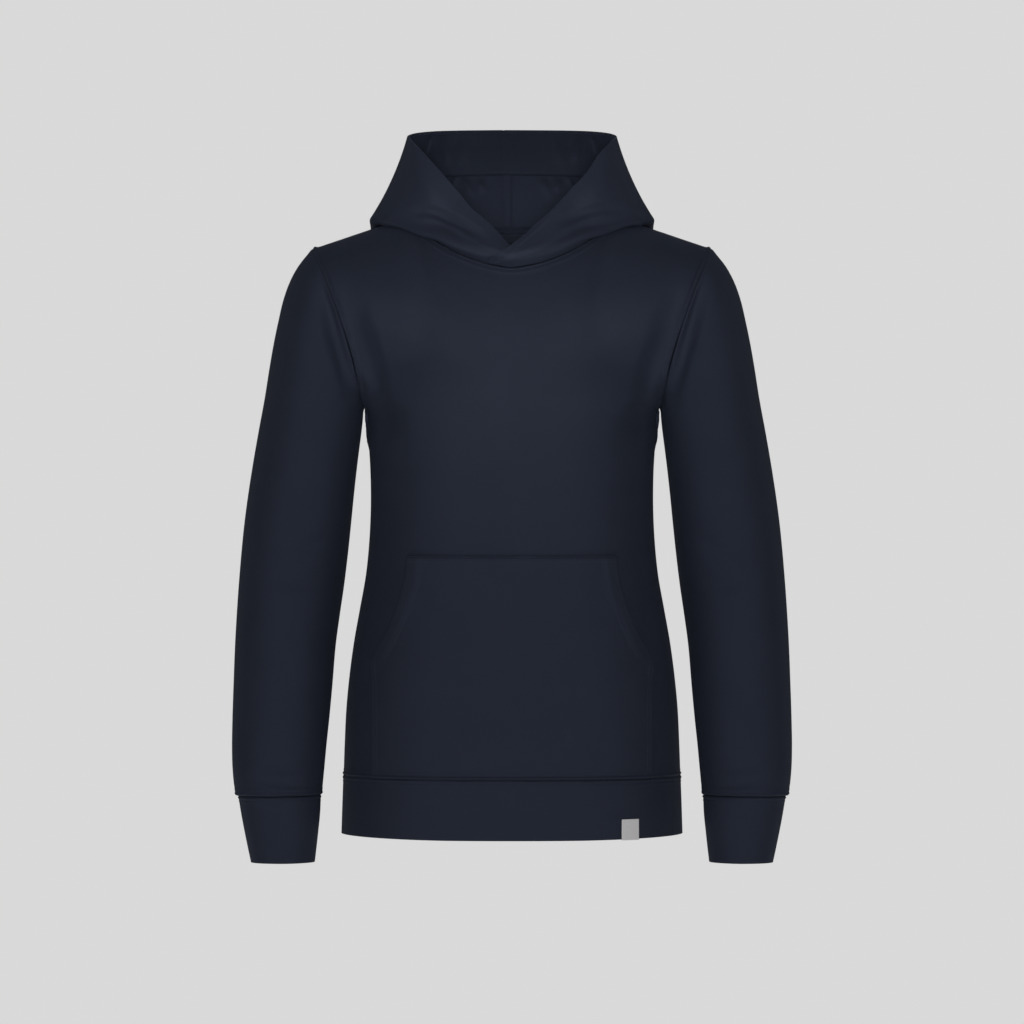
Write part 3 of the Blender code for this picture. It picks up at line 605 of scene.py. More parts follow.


# %% [markdown]
# Folds and creases are placed one by one as soft troughs and ridges. Each is a short path on the cloth with
# a width and a depth, fading out at its ends. The path is drawn on the plane of the front and dropped on
# the cloth from there, from in front, from behind, or from inside the hood.

# %% Folds
Crease = namedtuple("Crease", "path width depth")  # in millimetres; the path is pairs of x and z
FOLD_ROOM = 6 * MM  # folds fade out this near to a seam
PATH_POINTS = 24
PATH_END = 0.02  # a crease keeps a trace of its depth at its two ends
BLUNTNESS = 0.7  # below 1, it keeps its depth for longer before it fades


def mirrored(creases):
    """The same creases on the wearer's other side."""
    return [Crease([(-x, z) for x, z in path], width, depth) for path, width, depth in creases]


def dropped(tree, x, z, start, heading):
    """The place and normal of the cloth where a line of sight through (x, z) meets it, from start on."""
    camera_place = np.array([0, -CAMERA_DISTANCE, CAMERA_HEIGHT])
    sight = np.array([x, 0, z]) * MM - camera_place
    origin = camera_place + sight * (CAMERA_DISTANCE + start) / CAMERA_DISTANCE
    place, normal = tree.ray_cast(Vector(origin), Vector(sight * heading))[:2]
    if place is None:
        place, normal = tree.find_nearest(Vector(camera_place + sight))[:2]
    return np.array(place), np.array(normal)


def off_seams(points, tube=False):
    """A factor that keeps folds away from the seams."""
    share = np.clip(from_border(points, tube) / FOLD_ROOM, 0, 1)
    return share * share * (3 - 2 * share)


def creased(points, normals, creases, start=-1.0, heading=1):
    """Heights of all creases of a piece."""
    tree = as_tree(Sheet(points, None, None, False))
    heights = np.zeros(points.shape[:2])
    for crease in creases:
        found = [dropped(tree, x, z, start, heading) for x, z in crease.path]
        line = np.array([place for place, normal in found])
        out = unit(np.mean([normal for place, normal in found], axis=0))
        knots = np.arange(len(line), dtype=float)
        if len(line) > 2:
            line = curve_through(knots, line[:, None], np.linspace(0, knots[-1], PATH_POINTS))[:, 0]
        distance, place = along(points, line)
        share = place / max(place.max(), 1e-6)
        fade = np.sin(math.pi * np.clip(share, PATH_END, 1 - PATH_END)) ** BLUNTNESS
        near = np.cos(0.5 * math.pi * np.clip(distance / (crease.width * MM), 0, 1)) ** 2
        facing = np.clip((normals @ out) * 2, 0, 1)
        heights += crease.depth * MM * near * fade * facing
    return heights


# %% Seam profiles
HEM_SEAM = [(0, 0.2), (0.9, 0.7), (1.8, 1.3), (2.9, 0.6), (4.2, 0.05), (5.5, 0.35), (6.7, 0.1), (7.8, 0)]
BAND_SEAM = [(0, 0.0), (0.9, 0.4), (1.8, 0.9), (2.9, 0.3), (4.2, 0.0), (5.5, 0.35), (6.7, 0.05), (7.8, 0)]
ARMHOLE_BODY = [(0, -0.3), (0.9, 0.3), (1.8, 1.1), (2.9, 2.0), (4.2, 1.5), (5.5, 0.4), (6.7, 0.1), (9.2, 0)]
ARMHOLE_SLEEVE = [(0, -0.4), (0.9, -0.2), (1.8, -0.1), (4.2, 0)]
CUFF_SLEEVE = [(0, -0.1), (0.9, 0.5), (1.8, 0.9), (2.9, 0.4), (4.2, 0.2), (5.5, 0.3), (7.8, 0)]
PLAIN_SEAM = [(0, -0.7), (0.9, -0.25), (1.8, -0.05), (2.9, 0)]
NECK_SEAM = [(0, -0.3), (0.9, 0.2), (1.8, 0.7), (2.9, 0.3), (4.2, 0.7), (6.7, 0.5), (7.8, 0.25), (9.2, 0)]
POCKET_EDGE = [(0, -0.3), (0.9, 0.3), (1.8, -0.2), (2.9, 0.6), (4.2, -0.15), (5.5, 0.2), (6.7, 0)]
POCKET_SIDE = [(0, -0.4), (0.9, 0.0), (1.8, 0.2), (2.9, 0.1), (6.7, 0)]
FACING_SEAM = [(0, -0.7), (0.9, -0.4), (1.8, 0.1), (4, 0)]
FACING_MIDDLE = [(0, -0.4), (1.5, 0)]
POCKET_MOUTH = [(0, 0.0), (1.8, 0.5), (13, 0.8), (14.5, 0.9), (15.4, -0.3), (17.5, 0.0)]

# %% [markdown]
# ## Body panels
# Front and back are cut from jersey fleece. The armhole is the part of a side edge above the armpit, and
# the neck is the middle of the top edge between the two shoulder seams.

# %% Front and back
ARMPIT_ROW = 10
NECK_COLUMN = 7
FLEECE = 2.2 * MM
SEWN_EDGE = 0.35 * MM


def body_lines(sheet):
    """The border lines of a body panel that are sewn, each by name."""
    points, pit = sheet.points, sheet.rows[ARMPIT_ROW]
    first, last = sheet.columns[NECK_COLUMN], sheet.columns[-1 - NECK_COLUMN]
    return {
        "hem": points[0], "neck": points[-1, first : last + 1],
        "side_a": points[: pit + 1, 0], "side_b": points[: pit + 1, -1],
        "armhole_a": points[pit:, 0], "armhole_b": points[pit:, -1],
        "shoulder_a": points[-1, : first + 1], "shoulder_b": points[-1, last:],
    }


BODY_PROFILES = {
    "hem": HEM_SEAM, "neck": NECK_SEAM, "side": PLAIN_SEAM, "shoulder": PLAIN_SEAM, "armhole": ARMHOLE_BODY,
}


def seam_heights(points, lines, profiles, pucker=0.35):
    """The relief of a panel's border lines. A profile goes by a line's name or by its first word."""
    heights = np.zeros(points.shape[:2])
    for seed, (name, line) in enumerate(lines.items()):
        heights += relief(points, line, profiles.get(name) or profiles[name.split("_")[0]], seed, pucker)
    return heights


FRONT_ARMHOLE = [
    Crease([(176, -72), (166, -100), (156, -133), (145, -168), (132, -202), (116, -232)], 25, -5.5),
]
FRONT_CREASES = mirrored(FRONT_ARMHOLE) + FRONT_ARMHOLE + [
    Crease([(-146, -250), (-118, -262), (-80, -266)], 12, -1.0),
    Crease([(147, -262), (120, -276), (84, -281)], 12, -1.0),
]
BACK_ARMHOLE = [Crease([(164, -100), (156, -140), (138, -185), (108, -214)], 20, -3.5)]
BACK_CREASES = mirrored(BACK_ARMHOLE) + BACK_ARMHOLE + [
    Crease([(-140, -330), (-90, -345), (-30, -349)], 16, -2.5),
    Crease([(140, -356), (92, -372), (20, -376)], 16, -2.5),
    Crease([(-138, -402), (-92, -414), (-44, -416)], 14, -2.0),
]
front_folds = creased(front.points, net_normals(front.points), FRONT_CREASES)
back_folds = creased(back.points, net_normals(back.points), BACK_CREASES, start=1.0, heading=-1)
front_seams = seam_heights(front.points, body_lines(front), BODY_PROFILES)
back_seams = seam_heights(back.points, body_lines(back), BODY_PROFILES)
front_points = shaped(front.points, front_seams + front_folds * off_seams(front.points))
back_points = shaped(back.points, back_seams + back_folds * off_seams(back.points))
sew_cloth("front_cloth", "front", front_points, FLEECE, SEWN_EDGE)
sew_cloth("back_cloth", "back", back_points, FLEECE, SEWN_EDGE)

# %% [markdown]
# ## Sleeves, cuffs and hem band
# A sleeve is sewn into a tube first and then set into the armhole. Its end is gathered a little onto the
# tighter cuff, so the sleeve stands out over the cuff seam. Cuffs and hem band are made of doubled
# ribless jersey, folded at their free edge, so they are thicker and their lower edge is round.

# %% Tubes
BAND = 3.0 * MM
FOLDED_EDGE = 0.9 * MM
BAND_FALL = 2.0 * MM  # at the middle of the front, the band's lower edge hangs this much lower
BAND_HEIGHT = 60 * MM
BAND_DEPTH = 0.1  # from the middle of the body to the front of the band

SLEEVE_CREASES = [  # on the wearer's left, seen from in front; mirrored for the right sleeve
    Crease([(199, -68), (190, -94), (181, -128), (172, -160), (164, -192)], 15, -6.0),
    Crease([(162, -188), (158, -196)], 8, 1.6),
    Crease([(188, -330), (214, -344), (238, -340)], 12, -1.6),
    Crease([(192, -372), (220, -380), (246, -372)], 12, -1.4),
    Crease([(196, -560), (224, -570), (262, -566)], 10, -1.3),
    Crease([(198, -583), (232, -586), (270, -580)], 7, -1.2),
]
SLEEVE_BACK_CREASES = [
    Crease([(190, -318), (222, -330), (252, -318)], 14, -3.0),
    Crease([(194, -352), (226, -364), (258, -354)], 14, -2.8),
    Crease([(198, -392), (228, -400), (256, -394)], 13, -2.2),
    Crease([(184, -110), (176, -150), (166, -190)], 13, -3.0),
]
sleeve_points = {}
for side, way in SIDES:
    sleeve, cuff = sleeves[side].points, cuffs[side].points
    heights = relief(sleeve, sleeve[-1], ARMHOLE_SLEEVE, 3)
    heights += relief(sleeve, sleeve[0], CUFF_SLEEVE, 5, 0.5)
    heights += relief(sleeve, sleeve[:, 0], PLAIN_SEAM, 7)
    normals = net_normals(sleeve, tube=True)
    for creases, start, heading in ((SLEEVE_CREASES, -1.0, 1), (SLEEVE_BACK_CREASES, 1.0, -1)):
        placed = creases if way > 0 else mirrored(creases)
        heights += creased(sleeve, normals, placed, start, heading) * off_seams(sleeve, tube=True)
    sleeve_points[side] = shaped(sleeve, heights, tube=True)
    sew_cloth("sleeve_cloth_" + side, "sleeve_" + side, sleeve_points[side], FLEECE, SEWN_EDGE, tube=True)
    heights = relief(cuff, cuff[-1], BAND_SEAM, 4) + relief(cuff, cuff[:, 0], PLAIN_SEAM, 6)
    cuff = shaped(cuff, heights, tube=True)
    sew_cloth("cuff_cloth_" + side, "cuff_" + side, cuff, BAND, FOLDED_EDGE, tube=True)
band = hem_band.points
heights = relief(band, band[-1], BAND_SEAM, 2)
heights += relief(band, band[:, 0], PLAIN_SEAM, 1)
band_points = shaped(band, heights, tube=True)
fallen = np.clip((band[-1, :, 2].mean() - band_points[..., 2]) / BAND_HEIGHT, 0, 1)
band_points[..., 2] -= BAND_FALL * fallen * np.clip(-band_points[..., 1] / BAND_DEPTH, 0, 1) ** 2
sew_cloth("hem_band_cloth", "hem_band", band_points, BAND, FOLDED_EDGE, tube=True)

# %% [markdown]
# ## Pocket
# The pocket is one panel sewn on along its top, its short straight sides and the hem seam. The slanted
# openings are left free, with a hem strip turned under along each.

# %% Pocket
POCKET_STRAIGHT_ROW = 4
POCKET_CLOTH = 2.0 * MM
TURNED_EDGE = 0.5 * MM


def pocket_lines(sheet):
    points, slant = sheet.points, sheet.rows[POCKET_STRAIGHT_ROW]
    return {
        "edge_hem": points[0], "edge_top": points[-1],
        "edge_a": points[: slant + 1, 0], "edge_b": points[: slant + 1, -1],
        "mouth_a": points[slant:, 0], "mouth_b": points[slant:, -1],
    }


POCKET_PROFILES = {"edge_hem": HEM_SEAM, "edge_top": POCKET_EDGE, "edge": POCKET_SIDE, "mouth": POCKET_MOUTH}
heights = seam_heights(pocket.points, pocket_lines(pocket), POCKET_PROFILES, pucker=0.2)
pocket_points = moved(pocket.points, heights)
sew_cloth("pocket_cloth", "pocket", pocket_points, POCKET_CLOTH, TURNED_EDGE)

# %% [markdown]
# ## Hood, facing and neck tape
# Each hood half is a broad sheet from the neck seam to the edge of the opening. Inside, a facing of the
# same cloth runs along the opening and ends in a seam. The tape covers the seam at the back of the neck.

# %% Hood cloth
FACING_ANGLE = 154
FACING_WIDTH = 52 * MM
DEEPEST_INSIDE = 1.6 * MM  # troughs inside the hood leave at least a millimetre of the cloth
SEAM_SHIFT = 9 * MM  # the seam at the back of the hood lies off the middle, towards the wearer's right
HOOD_CREASES = {
    "right": [
        Crease([(-106, 2), (-80, 3), (-54, -8), (-29, -24)], 9, -3.4),
        Crease([(-132, -11), (-95, -19), (-54, -34), (-25, -46)], 8, 1.6),
        Crease([(-105, 62), (-88, 30), (-60, 8)], 14, 1.0),
        Crease([(-4, -36.5), (-13, -43), (-24, -52.5), (-34, -61)], 5, -2.0),
    ],
    "left": [
        Crease([(46, -10), (66, -1), (90, 6), (118, 6)], 9, -2.6),
        Crease([(130, -8), (90, -17), (50, -30)], 8, 1.3),
        Crease([(104, 60), (90, 32), (62, 10)], 14, 1.0),
        Crease([(60, 24), (32, -8), (8, -28.5), (-8, -41.5), (-21, -51)], 3.5, 0.8),
    ],
}
HOOD_INSIDE_CREASES = {
    "right": [
        Crease([(-57, 41), (-62, 28)], 3, -3.4),
        Crease([(-50, 37), (-45, 28), (-42, 20)], 6, -2.6),
        Crease([(-34, 35), (-30, 24)], 6, -2.2),
    ],
    "left": [
        Crease([(57, 41), (62, 28)], 3, -3.4),
        Crease([(30, 36), (36, 26), (38, 18)], 6, -2.6),
        Crease([(48, 36), (45, 24)], 6, -2.2),
    ],
}
HOOD_ROWS = 140
FINE_STEP = 3 * MM
HALF_GAP = 0.02 * MM  # from the middle to each half, along the seam at the back
BEHIND = 40 * MM  # the cloth counts as behind the neck from here on
SEAM_BEND = 32 * MM  # about how far to each side the cloth is shifted with its seam
INSIDE_SEAM = ([-2.5, 0, 0.9, 1.8, 7.8, 9.2], [0, 0.3, 0.5, 1.0, 0.9, 0])  # places and heights in millimetres
hood_points = {}
for side, way in SIDES:
    net = hood_middles[side]
    outer = net + net_normals(net) * HOOD_CLOTH / 2
    back_column = -1 if way > 0 else 0
    outer[:, back_column, 0] = way * HALF_GAP
    length = lengths_along(outer, 0)[-1].mean()
    outer = even_rows(outer, places(np.linspace(0, length, HOOD_ROWS), RINGS, RINGS) / length)
    across = lengths_along(outer, 1).mean(axis=0)
    columns = places(across, RINGS, RINGS, FINE_STEP)
    outer = curve_through(across, outer.transpose(1, 0, 2), columns).transpose(1, 0, 2)
    outer[:, back_column, 0] = way * HALF_GAP
    behind = np.clip(outer[..., 1] / BEHIND, 0, 1)
    outer[..., 0] -= SEAM_SHIFT * behind * np.exp(-((outer[..., 0] / SEAM_BEND) ** 2))
    normals = net_normals(outer)
    heights = relief(outer, outer[:, back_column], PLAIN_SEAM, 8)
    heights += creased(outer, normals, HOOD_CREASES[side])
    inner = outer - normals * HOOD_CLOTH
    inside = np.interp((inner[..., 0] + SEAM_SHIFT) / MM, *INSIDE_SEAM) * MM * (outer[..., 1] > BEHIND)
    inside += np.maximum(creased(inner, normals, HOOD_INSIDE_CREASES[side], start=0.0), -DEEPEST_INSIDE)
    inner -= normals * inside[..., None]
    hood_points[side] = moved(outer, heights)
    sew_cloth("hood_cloth_" + side, "hood_" + side, hood_points[side], HOOD_CLOTH, TURNED_EDGE, inner=inner)

# %% Facing and tape
FACING = 1.4 * MM
FACING_GAP = 0.15 * MM
FACING_EDGE = 1.2 * MM
FACING_ROWS = 13
FACING_SHARE = 0.85  # the facing covers no more of a short section than this
FACING_HALF_GAP = 0.05 * MM
TAPE_CLOTH, TAPE_EDGE = 1.0 * MM, 0.3 * MM
FACING_CREASES = {
    "right": [
        Crease([(-83, 80), (-86, 74), (-88, 62)], 5, -2.4),
        Crease([(-74, 82), (-68, 64), (-66, 52)], 7, -1.6),
        Crease([(-50, 80), (-52, 50)], 12, -1.0),
    ],
    "left": [
        Crease([(82, 80), (85, 74), (87, 62)], 5, -2.4),
        Crease([(70, 82), (66, 64), (64, 52)], 7, -1.6),
        Crease([(46, 80), (50, 50)], 12, -1.0),
    ],
}


def facing_net(outer):
    """The facing's visible face, inside the hood: rows from its seam up to just below the opening's edge."""
    lengths = lengths_along(outer, 0)
    normals = net_normals(outer)
    reach = np.minimum(FACING_WIDTH, FACING_SHARE * lengths[-1])
    shares = places(np.linspace(0, FACING_WIDTH, FACING_ROWS), RINGS[:5], RINGS[:5], FINE_STEP) / FACING_WIDTH
    rows = []
    for share in shares:
        at = lengths[-1] - reach + (reach - FACING_EDGE) * share
        columns = range(outer.shape[1])
        place = np.array([between(at[k], lengths[:, k], outer[:, k]) for k in columns])
        out = np.array([between(at[k], lengths[:, k], normals[:, k]) for k in columns])
        rows.append(place - out * (HOOD_CLOTH + FACING_GAP + FACING))
    net = np.array(rows)[:, ::-1]
    angle = np.degrees(np.arctan2(np.abs(net[-1, :, 0]), net[-1, :, 1]))
    kept = np.flatnonzero(angle <= FACING_ANGLE)
    return net[:, kept.min() : kept.max() + 1]


for side, way in SIDES:
    net = facing_net(hood_points[side])
    middle_column = 0 if way > 0 else -1
    net[:, middle_column, 0] = way * FACING_HALF_GAP - SEAM_SHIFT
    heights = relief(net, net[:, middle_column], FACING_MIDDLE, 2)
    heights += relief(net, net[0], FACING_SEAM, 3)
    heights += creased(net, net_normals(net), FACING_CREASES[side], start=0.0)
    inner = net - net_normals(net) * FACING
    net = moved(net, heights)
    sew_cloth("facing_cloth_" + side, "hood_facing_" + side, net, FACING, SEWN_EDGE, inner=inner)
sew_cloth("tape_cloth", "neck_tape", tape.points, TAPE_CLOTH, TAPE_EDGE)

# %% [markdown]
# ## Label
# A small folded woven label is sewn on near the lower edge of the hem band. It is left blank.

# %% Label
LABEL_X = (0.1107, 0.1280)
LABEL_Z = (-0.6384, -0.6172)
LABEL_ROWS, LABEL_COLUMNS = 12, 11
BAND_TURNS = -0.634  # below this height the band's edge is round, and the label hangs straight down
LABEL_OFF = 1.5  # millimetres in front of the band
LABEL_CLOTH, LABEL_EDGE = 0.8 * MM, 0.2 * MM
band_tree = as_tree(hem_band)
label_rows = []
for z in np.linspace(*LABEL_Z, LABEL_ROWS):
    label_rows.append([])
    for x in np.linspace(*LABEL_X, LABEL_COLUMNS):
        place, normal = band_tree.ray_cast(Vector((x, -1, max(z, BAND_TURNS))), Vector((0, 1, 0)))[:2]
        label_rows[-1].append(np.array((x, place.y, z)) + np.array(normal) * LABEL_OFF * MM)
sew_cloth("label_cloth", "hem_label", np.array(label_rows), LABEL_CLOTH, LABEL_EDGE)

# %% [markdown]
# ## Stitches
# Flat seams are sewn with two rows of thread that show on the face side. One stitch is a small spindle.
# It is modelled once and copied along each row, three millimetres apart, turned to the row's direction.

# %% Rows of stitches
STITCH_PITCH = 3.0 * MM
STITCH_SIZE = [0.17 * MM, 0.17 * MM, 1.25 * MM]
STITCH_LIFT = 0.06  # millimetres above the cloth
LOOK_AHEAD = 0.1 * MM
ONE_ROW, TWO_ROWS = (2.9 * MM,), (1.8 * MM, 6.7 * MM)  # how far from a border the rows of a seam lie
NECK_ROWS, MOUTH_ROW = (2.9 * MM, 7.8 * MM), (15.5 * MM,)
bpy.ops.object.select_all(action="DESELECT")
bpy.ops.mesh.primitive_uv_sphere_add(segments=5, ring_count=4, radius=1)
grain = bpy.context.object
grain_points = np.array([tuple(v.co) for v in grain.data.vertices]) * STITCH_SIZE
grain_faces = [tuple(face.vertices) for face in grain.data.polygons]
bpy.data.objects.remove(grain)


def sewn_row(points, distance, start, stop, offset, by_column):
    """Places at a distance from a border, one on each grid line from start to stop, and the way out."""
    normals = net_normals(points)
    if not by_column:
        points, normals, distance = (a.swapaxes(0, 1) for a in (points, normals, distance))
    row, out = [], []
    for k in range(start, stop):
        line = distance[:, k]
        order = np.arange(len(line))[:: -1 if line[0] > line[-1] else 1]
        near = order[: len(line) // 3]
        row.append(between(offset, line[near], points[near, k]))
        out.append(between(offset, line[near], normals[near, k]))
    return np.array(row), unit(np.array(out))


def stitches(name, rows):
    """One piece with a stitch at every pitch along each row."""
    points, faces = [], []
    for line, out in rows:
        steps = lengths_along(line, 0)
        at = np.arange(0.5 * STITCH_PITCH, steps[-1], STITCH_PITCH)
        place = between(at, steps, line)
        ahead = unit(between(at + LOOK_AHEAD, steps, line) - place)
        up = unit(between(at, steps, out))
        beside = np.cross(up, ahead)
        for p, a, b, u in zip(place, ahead, beside, up):
            first = len(points)
            points.extend(p + u * STITCH_LIFT * MM + x * b + y * u + z * a for x, y, z in grain_points)
            faces.extend(tuple(first + corner for corner in face) for face in grain_faces)
    mesh = bpy.data.meshes.new(name)
    mesh.from_pydata([tuple(p) for p in points], [], faces)
    mesh.shade_smooth()
    piece = bpy.data.objects.new(name, mesh)
    bpy.context.scene.collection.objects.link(piece)
    made[name] = piece
    print(name, len(points) // len(grain_points), "stitches")


def rows_beside(points, line, span, offsets, by_column=True):
    """The rows of one seam, for a border line and the span of grid lines that the seam crosses."""
    distance = along(points, line)[0]
    return [sewn_row(points, distance, *span, offset, by_column) for offset in offsets]


for name, sheet, points in (("front", front, front_points), ("back", back, back_points)):
    lines = body_lines(sheet)
    pit, high = sheet.rows[ARMPIT_ROW], len(sheet.points)
    first, last = sheet.columns[NECK_COLUMN], sheet.columns[-1 - NECK_COLUMN]
    rows = rows_beside(points, lines["hem"], (1, points.shape[1] - 1), ONE_ROW)
    rows += rows_beside(points, lines["neck"], (first + 1, last), NECK_ROWS)
    for end in "ab":
        rows += rows_beside(points, lines["armhole_" + end], (pit + 1, high - 1), TWO_ROWS, by_column=False)
    stitches(name + "_stitches", rows)
for side, points in sleeve_points.items():
    stitches("sleeve_stitches_" + side, rows_beside(points, points[0], (0, points.shape[1]), ONE_ROW))
stitches("band_stitches", rows_beside(band_points, band_points[-1], (0, band_points.shape[1]), ONE_ROW))
slant, lines = pocket.rows[POCKET_STRAIGHT_ROW], pocket_lines(pocket)
rows = rows_beside(pocket_points, lines["edge_top"], (1, pocket_points.shape[1] - 1), TWO_ROWS)
for end in "ab":
    rows += rows_beside(pocket_points, lines["edge_" + end], (1, slant), TWO_ROWS, by_column=False)
    mouth = (slant, len(pocket_points) - 1)
    rows += rows_beside(pocket_points, lines["mouth_" + end], mouth, MOUTH_ROW, by_column=False)
stitches("pocket_stitches", rows)

# %% [markdown]
# ## Cloth materials
# Jersey shows columns of small V-shaped loops on its face and a soft brushed nap on its back. Both are
# node groups that give only heights and masks, so each material can use them at its own size and
# strength.

# %% Node helpers
def new_group(name, values, outputs):
    """A group with a Vector input, an input for each value, and outputs that are all plain numbers."""
    group = bpy.data.node_groups.new(name, "ShaderNodeTree")
    group.interface.new_socket("Vector", in_out="INPUT", socket_type="NodeSocketVector")
    for title, value in values.items():
        group.interface.new_socket(title, in_out="INPUT", socket_type="NodeSocketFloat").default_value = value
    for title in outputs:
        group.interface.new_socket(title, in_out="OUTPUT", socket_type="NodeSocketFloat")
    return group, group.nodes.new("NodeGroupInput"), group.nodes.new("NodeGroupOutput")


def fill_in(node, **values):
    """Set a node's own inputs. An underscore stands for the space in an input's name."""
    for title, value in values.items():
        node.inputs[title.replace("_", " ")].default_value = value
    return node


def math_node(tree, operation, *values):
    node = tree.nodes.new("ShaderNodeMath")
    node.operation = operation
    for socket, value in zip(node.inputs, values):
        if isinstance(value, bpy.types.NodeSocket):
            tree.links.new(value, socket)
        else:
            socket.default_value = value
    return node.outputs[0]


# %% Jersey knit
LEG_SLANT = 0.7
LEG_ROUNDNESS = 0.6
LOOP_DEPTH = 0.55  # how much of the height changes from loop to loop


def make_knit_group():
    """V-shaped loops: columns called wales, with two slanted legs in each, and rows called courses."""
    group, given, result = new_group("jersey_knit", {"Wale": 0.0011, "Course": 0.0009}, ["Height"])
    split = group.nodes.new("ShaderNodeSeparateXYZ")
    group.links.new(given.outputs["Vector"], split.inputs[0])
    across = math_node(group, "DIVIDE", split.outputs[0], given.outputs["Wale"])
    up = math_node(group, "DIVIDE", split.outputs[1], given.outputs["Course"])
    leg = math_node(group, "MULTIPLY", math_node(group, "PINGPONG", across, 0.5), 2.0)
    slanted = math_node(group, "ADD", up, math_node(group, "MULTIPLY", leg, LEG_SLANT))
    turn = math_node(group, "MULTIPLY", slanted, 2 * math.pi)
    loops = math_node(group, "MULTIPLY_ADD", math_node(group, "SINE", turn), 0.5, 0.5)
    middle = math_node(group, "ABSOLUTE", math_node(group, "SUBTRACT", leg, 0.5))
    round_leg = math_node(group, "SUBTRACT", 1.0, math_node(group, "MULTIPLY", middle, 2.0))
    round_leg = math_node(group, "POWER", round_leg, LEG_ROUNDNESS)
    loops = math_node(group, "MULTIPLY_ADD", loops, LOOP_DEPTH, 1 - LOOP_DEPTH)
    group.links.new(math_node(group, "MULTIPLY", round_leg, loops), result.inputs["Height"])
    return group


def make_fibre_group():
    """Fine fibres and a broad, faint unevenness of the cloth."""
    sizes = {"Fibre Scale": 1800.0, "Broad Scale": 28.0}
    group, given, result = new_group("fibre_nap", sizes, ["Fibres", "Broad"])
    for title, scale, roughness in (("Fibres", "Fibre Scale", 0.65), ("Broad", "Broad Scale", 0.5)):
        noise = fill_in(group.nodes.new("ShaderNodeTexNoise"), Detail=3.0, Roughness=roughness)
        group.links.new(given.outputs["Vector"], noise.inputs["Vector"])
        group.links.new(given.outputs[scale], noise.inputs["Scale"])
        group.links.new(noise.outputs["Fac"], result.inputs[title])
    return group


knit_group = make_knit_group()
fibre_group = make_fibre_group()
print("groups:", knit_group.name, fibre_group.name)

# %% Navy jersey
COOL_GLOSS = (0.55, 0.66, 1.0)
SHEEN = 0.06
SHEEN_ROUGHNESS = 0.5
BROAD_TONE, RELIEF_PAINTED_SHADE = 0.5, 0.6  # how much the broad random patches lighten the colour, and how much the relief's painted shade does: darker in the knit's hollows, lighter on its raised loops and fibres
ROUGHNESS_SPAN = 0.12


def place_group(tree, group, vector, **values):
    node = tree.nodes.new("ShaderNodeGroup")
    node.node_tree = group
    tree.links.new(vector, node.inputs["Vector"])
    return fill_in(node, **values)


def cloth_material(name, dark, light, knit_share, wale, course, bump, roughness,
                   fibre_scale=1800.0, gloss=0.667, gloss_tint=COOL_GLOSS):
    """Cloth with knit and fibres: knit_share says how much of its relief is loops and how much is nap."""
    material = bpy.data.materials.new(name)
    material.use_nodes = True
    tree = material.node_tree
    shader = fill_in(
        tree.nodes["Principled BSDF"], Specular_IOR_Level=gloss, Specular_Tint=(*gloss_tint, 1.0),
        Sheen_Weight=SHEEN, Sheen_Roughness=SHEEN_ROUGHNESS, Sheen_Tint=(*gloss_tint, 1.0),
    )
    on_cloth = tree.nodes.new("ShaderNodeUVMap")
    on_cloth.uv_map = "cloth"
    place = tree.nodes.new("ShaderNodeTexCoord")
    knit = place_group(tree, knit_group, on_cloth.outputs[0], Wale=wale, Course=course)
    fibres = place_group(tree, fibre_group, place.outputs["Object"], Fibre_Scale=fibre_scale)
    loops = math_node(tree, "MULTIPLY", knit.outputs["Height"], knit_share)
    height = math_node(tree, "MULTIPLY_ADD", fibres.outputs["Fibres"], 1 - knit_share, loops)
    raised = fill_in(tree.nodes.new("ShaderNodeBump"), Distance=bump, Strength=1.0)
    tree.links.new(height, raised.inputs["Height"])
    tree.links.new(raised.outputs[0], shader.inputs["Normal"])
    # Painted shade: the colour follows the relief, darker in the hollows between loops and fibres and lighter
    # on their tops. The broad patches are random tone.
    shade = math_node(tree, "MULTIPLY", height, RELIEF_PAINTED_SHADE)
    shade = math_node(tree, "MULTIPLY_ADD", fibres.outputs["Broad"], BROAD_TONE, shade)
    tint = tree.nodes.new("ShaderNodeMix")
    tint.data_type = "RGBA"
    fill_in(tint, A=(*dark, 1), B=(*light, 1))
    tree.links.new(shade, tint.inputs["Factor"])
    tree.links.new(tint.outputs["Result"], shader.inputs["Base Color"])
    rough = fibres.outputs["Fibres"], ROUGHNESS_SPAN, roughness - ROUGHNESS_SPAN / 2
    tree.links.new(math_node(tree, "MULTIPLY_ADD", *rough), shader.inputs["Roughness"])
    return material


fleece_face = cloth_material(
    "navy_jersey_face", (0.0090, 0.0107, 0.0170), (0.0177, 0.0207, 0.0320),
    knit_share=0.75, wale=1.1 * MM, course=0.9 * MM, bump=0.00018, roughness=0.64,
)
fleece_back = cloth_material(
    "navy_fleece_back", (0.0084, 0.0100, 0.0158), (0.0175, 0.0205, 0.0315),
    knit_share=0.15, wale=1.6 * MM, course=1.3 * MM, bump=0.00035, roughness=0.72, fibre_scale=900.0,
)
thread_navy = cloth_material(
    "navy_thread", (0.0240, 0.0280, 0.0420), (0.0500, 0.0570, 0.0800),
    knit_share=0.0, wale=1 * MM, course=1 * MM, bump=0.00005, roughness=0.7, fibre_scale=4000.0,
)
tape_navy = cloth_material(
    "navy_tape", (0.0133, 0.0153, 0.0227), (0.0253, 0.0287, 0.0400),
    knit_share=0.9, wale=0.9 * MM, course=0.7 * MM, bump=0.00012, roughness=0.85,
)
label_white = cloth_material(
    "label_satin", (0.82, 0.80, 0.81), (0.92, 0.90, 0.91),
    knit_share=0.9, wale=0.35 * MM, course=0.3 * MM, bump=0.00004, roughness=0.55,
    gloss=1.0, gloss_tint=(1.0, 1.0, 1.0),
)
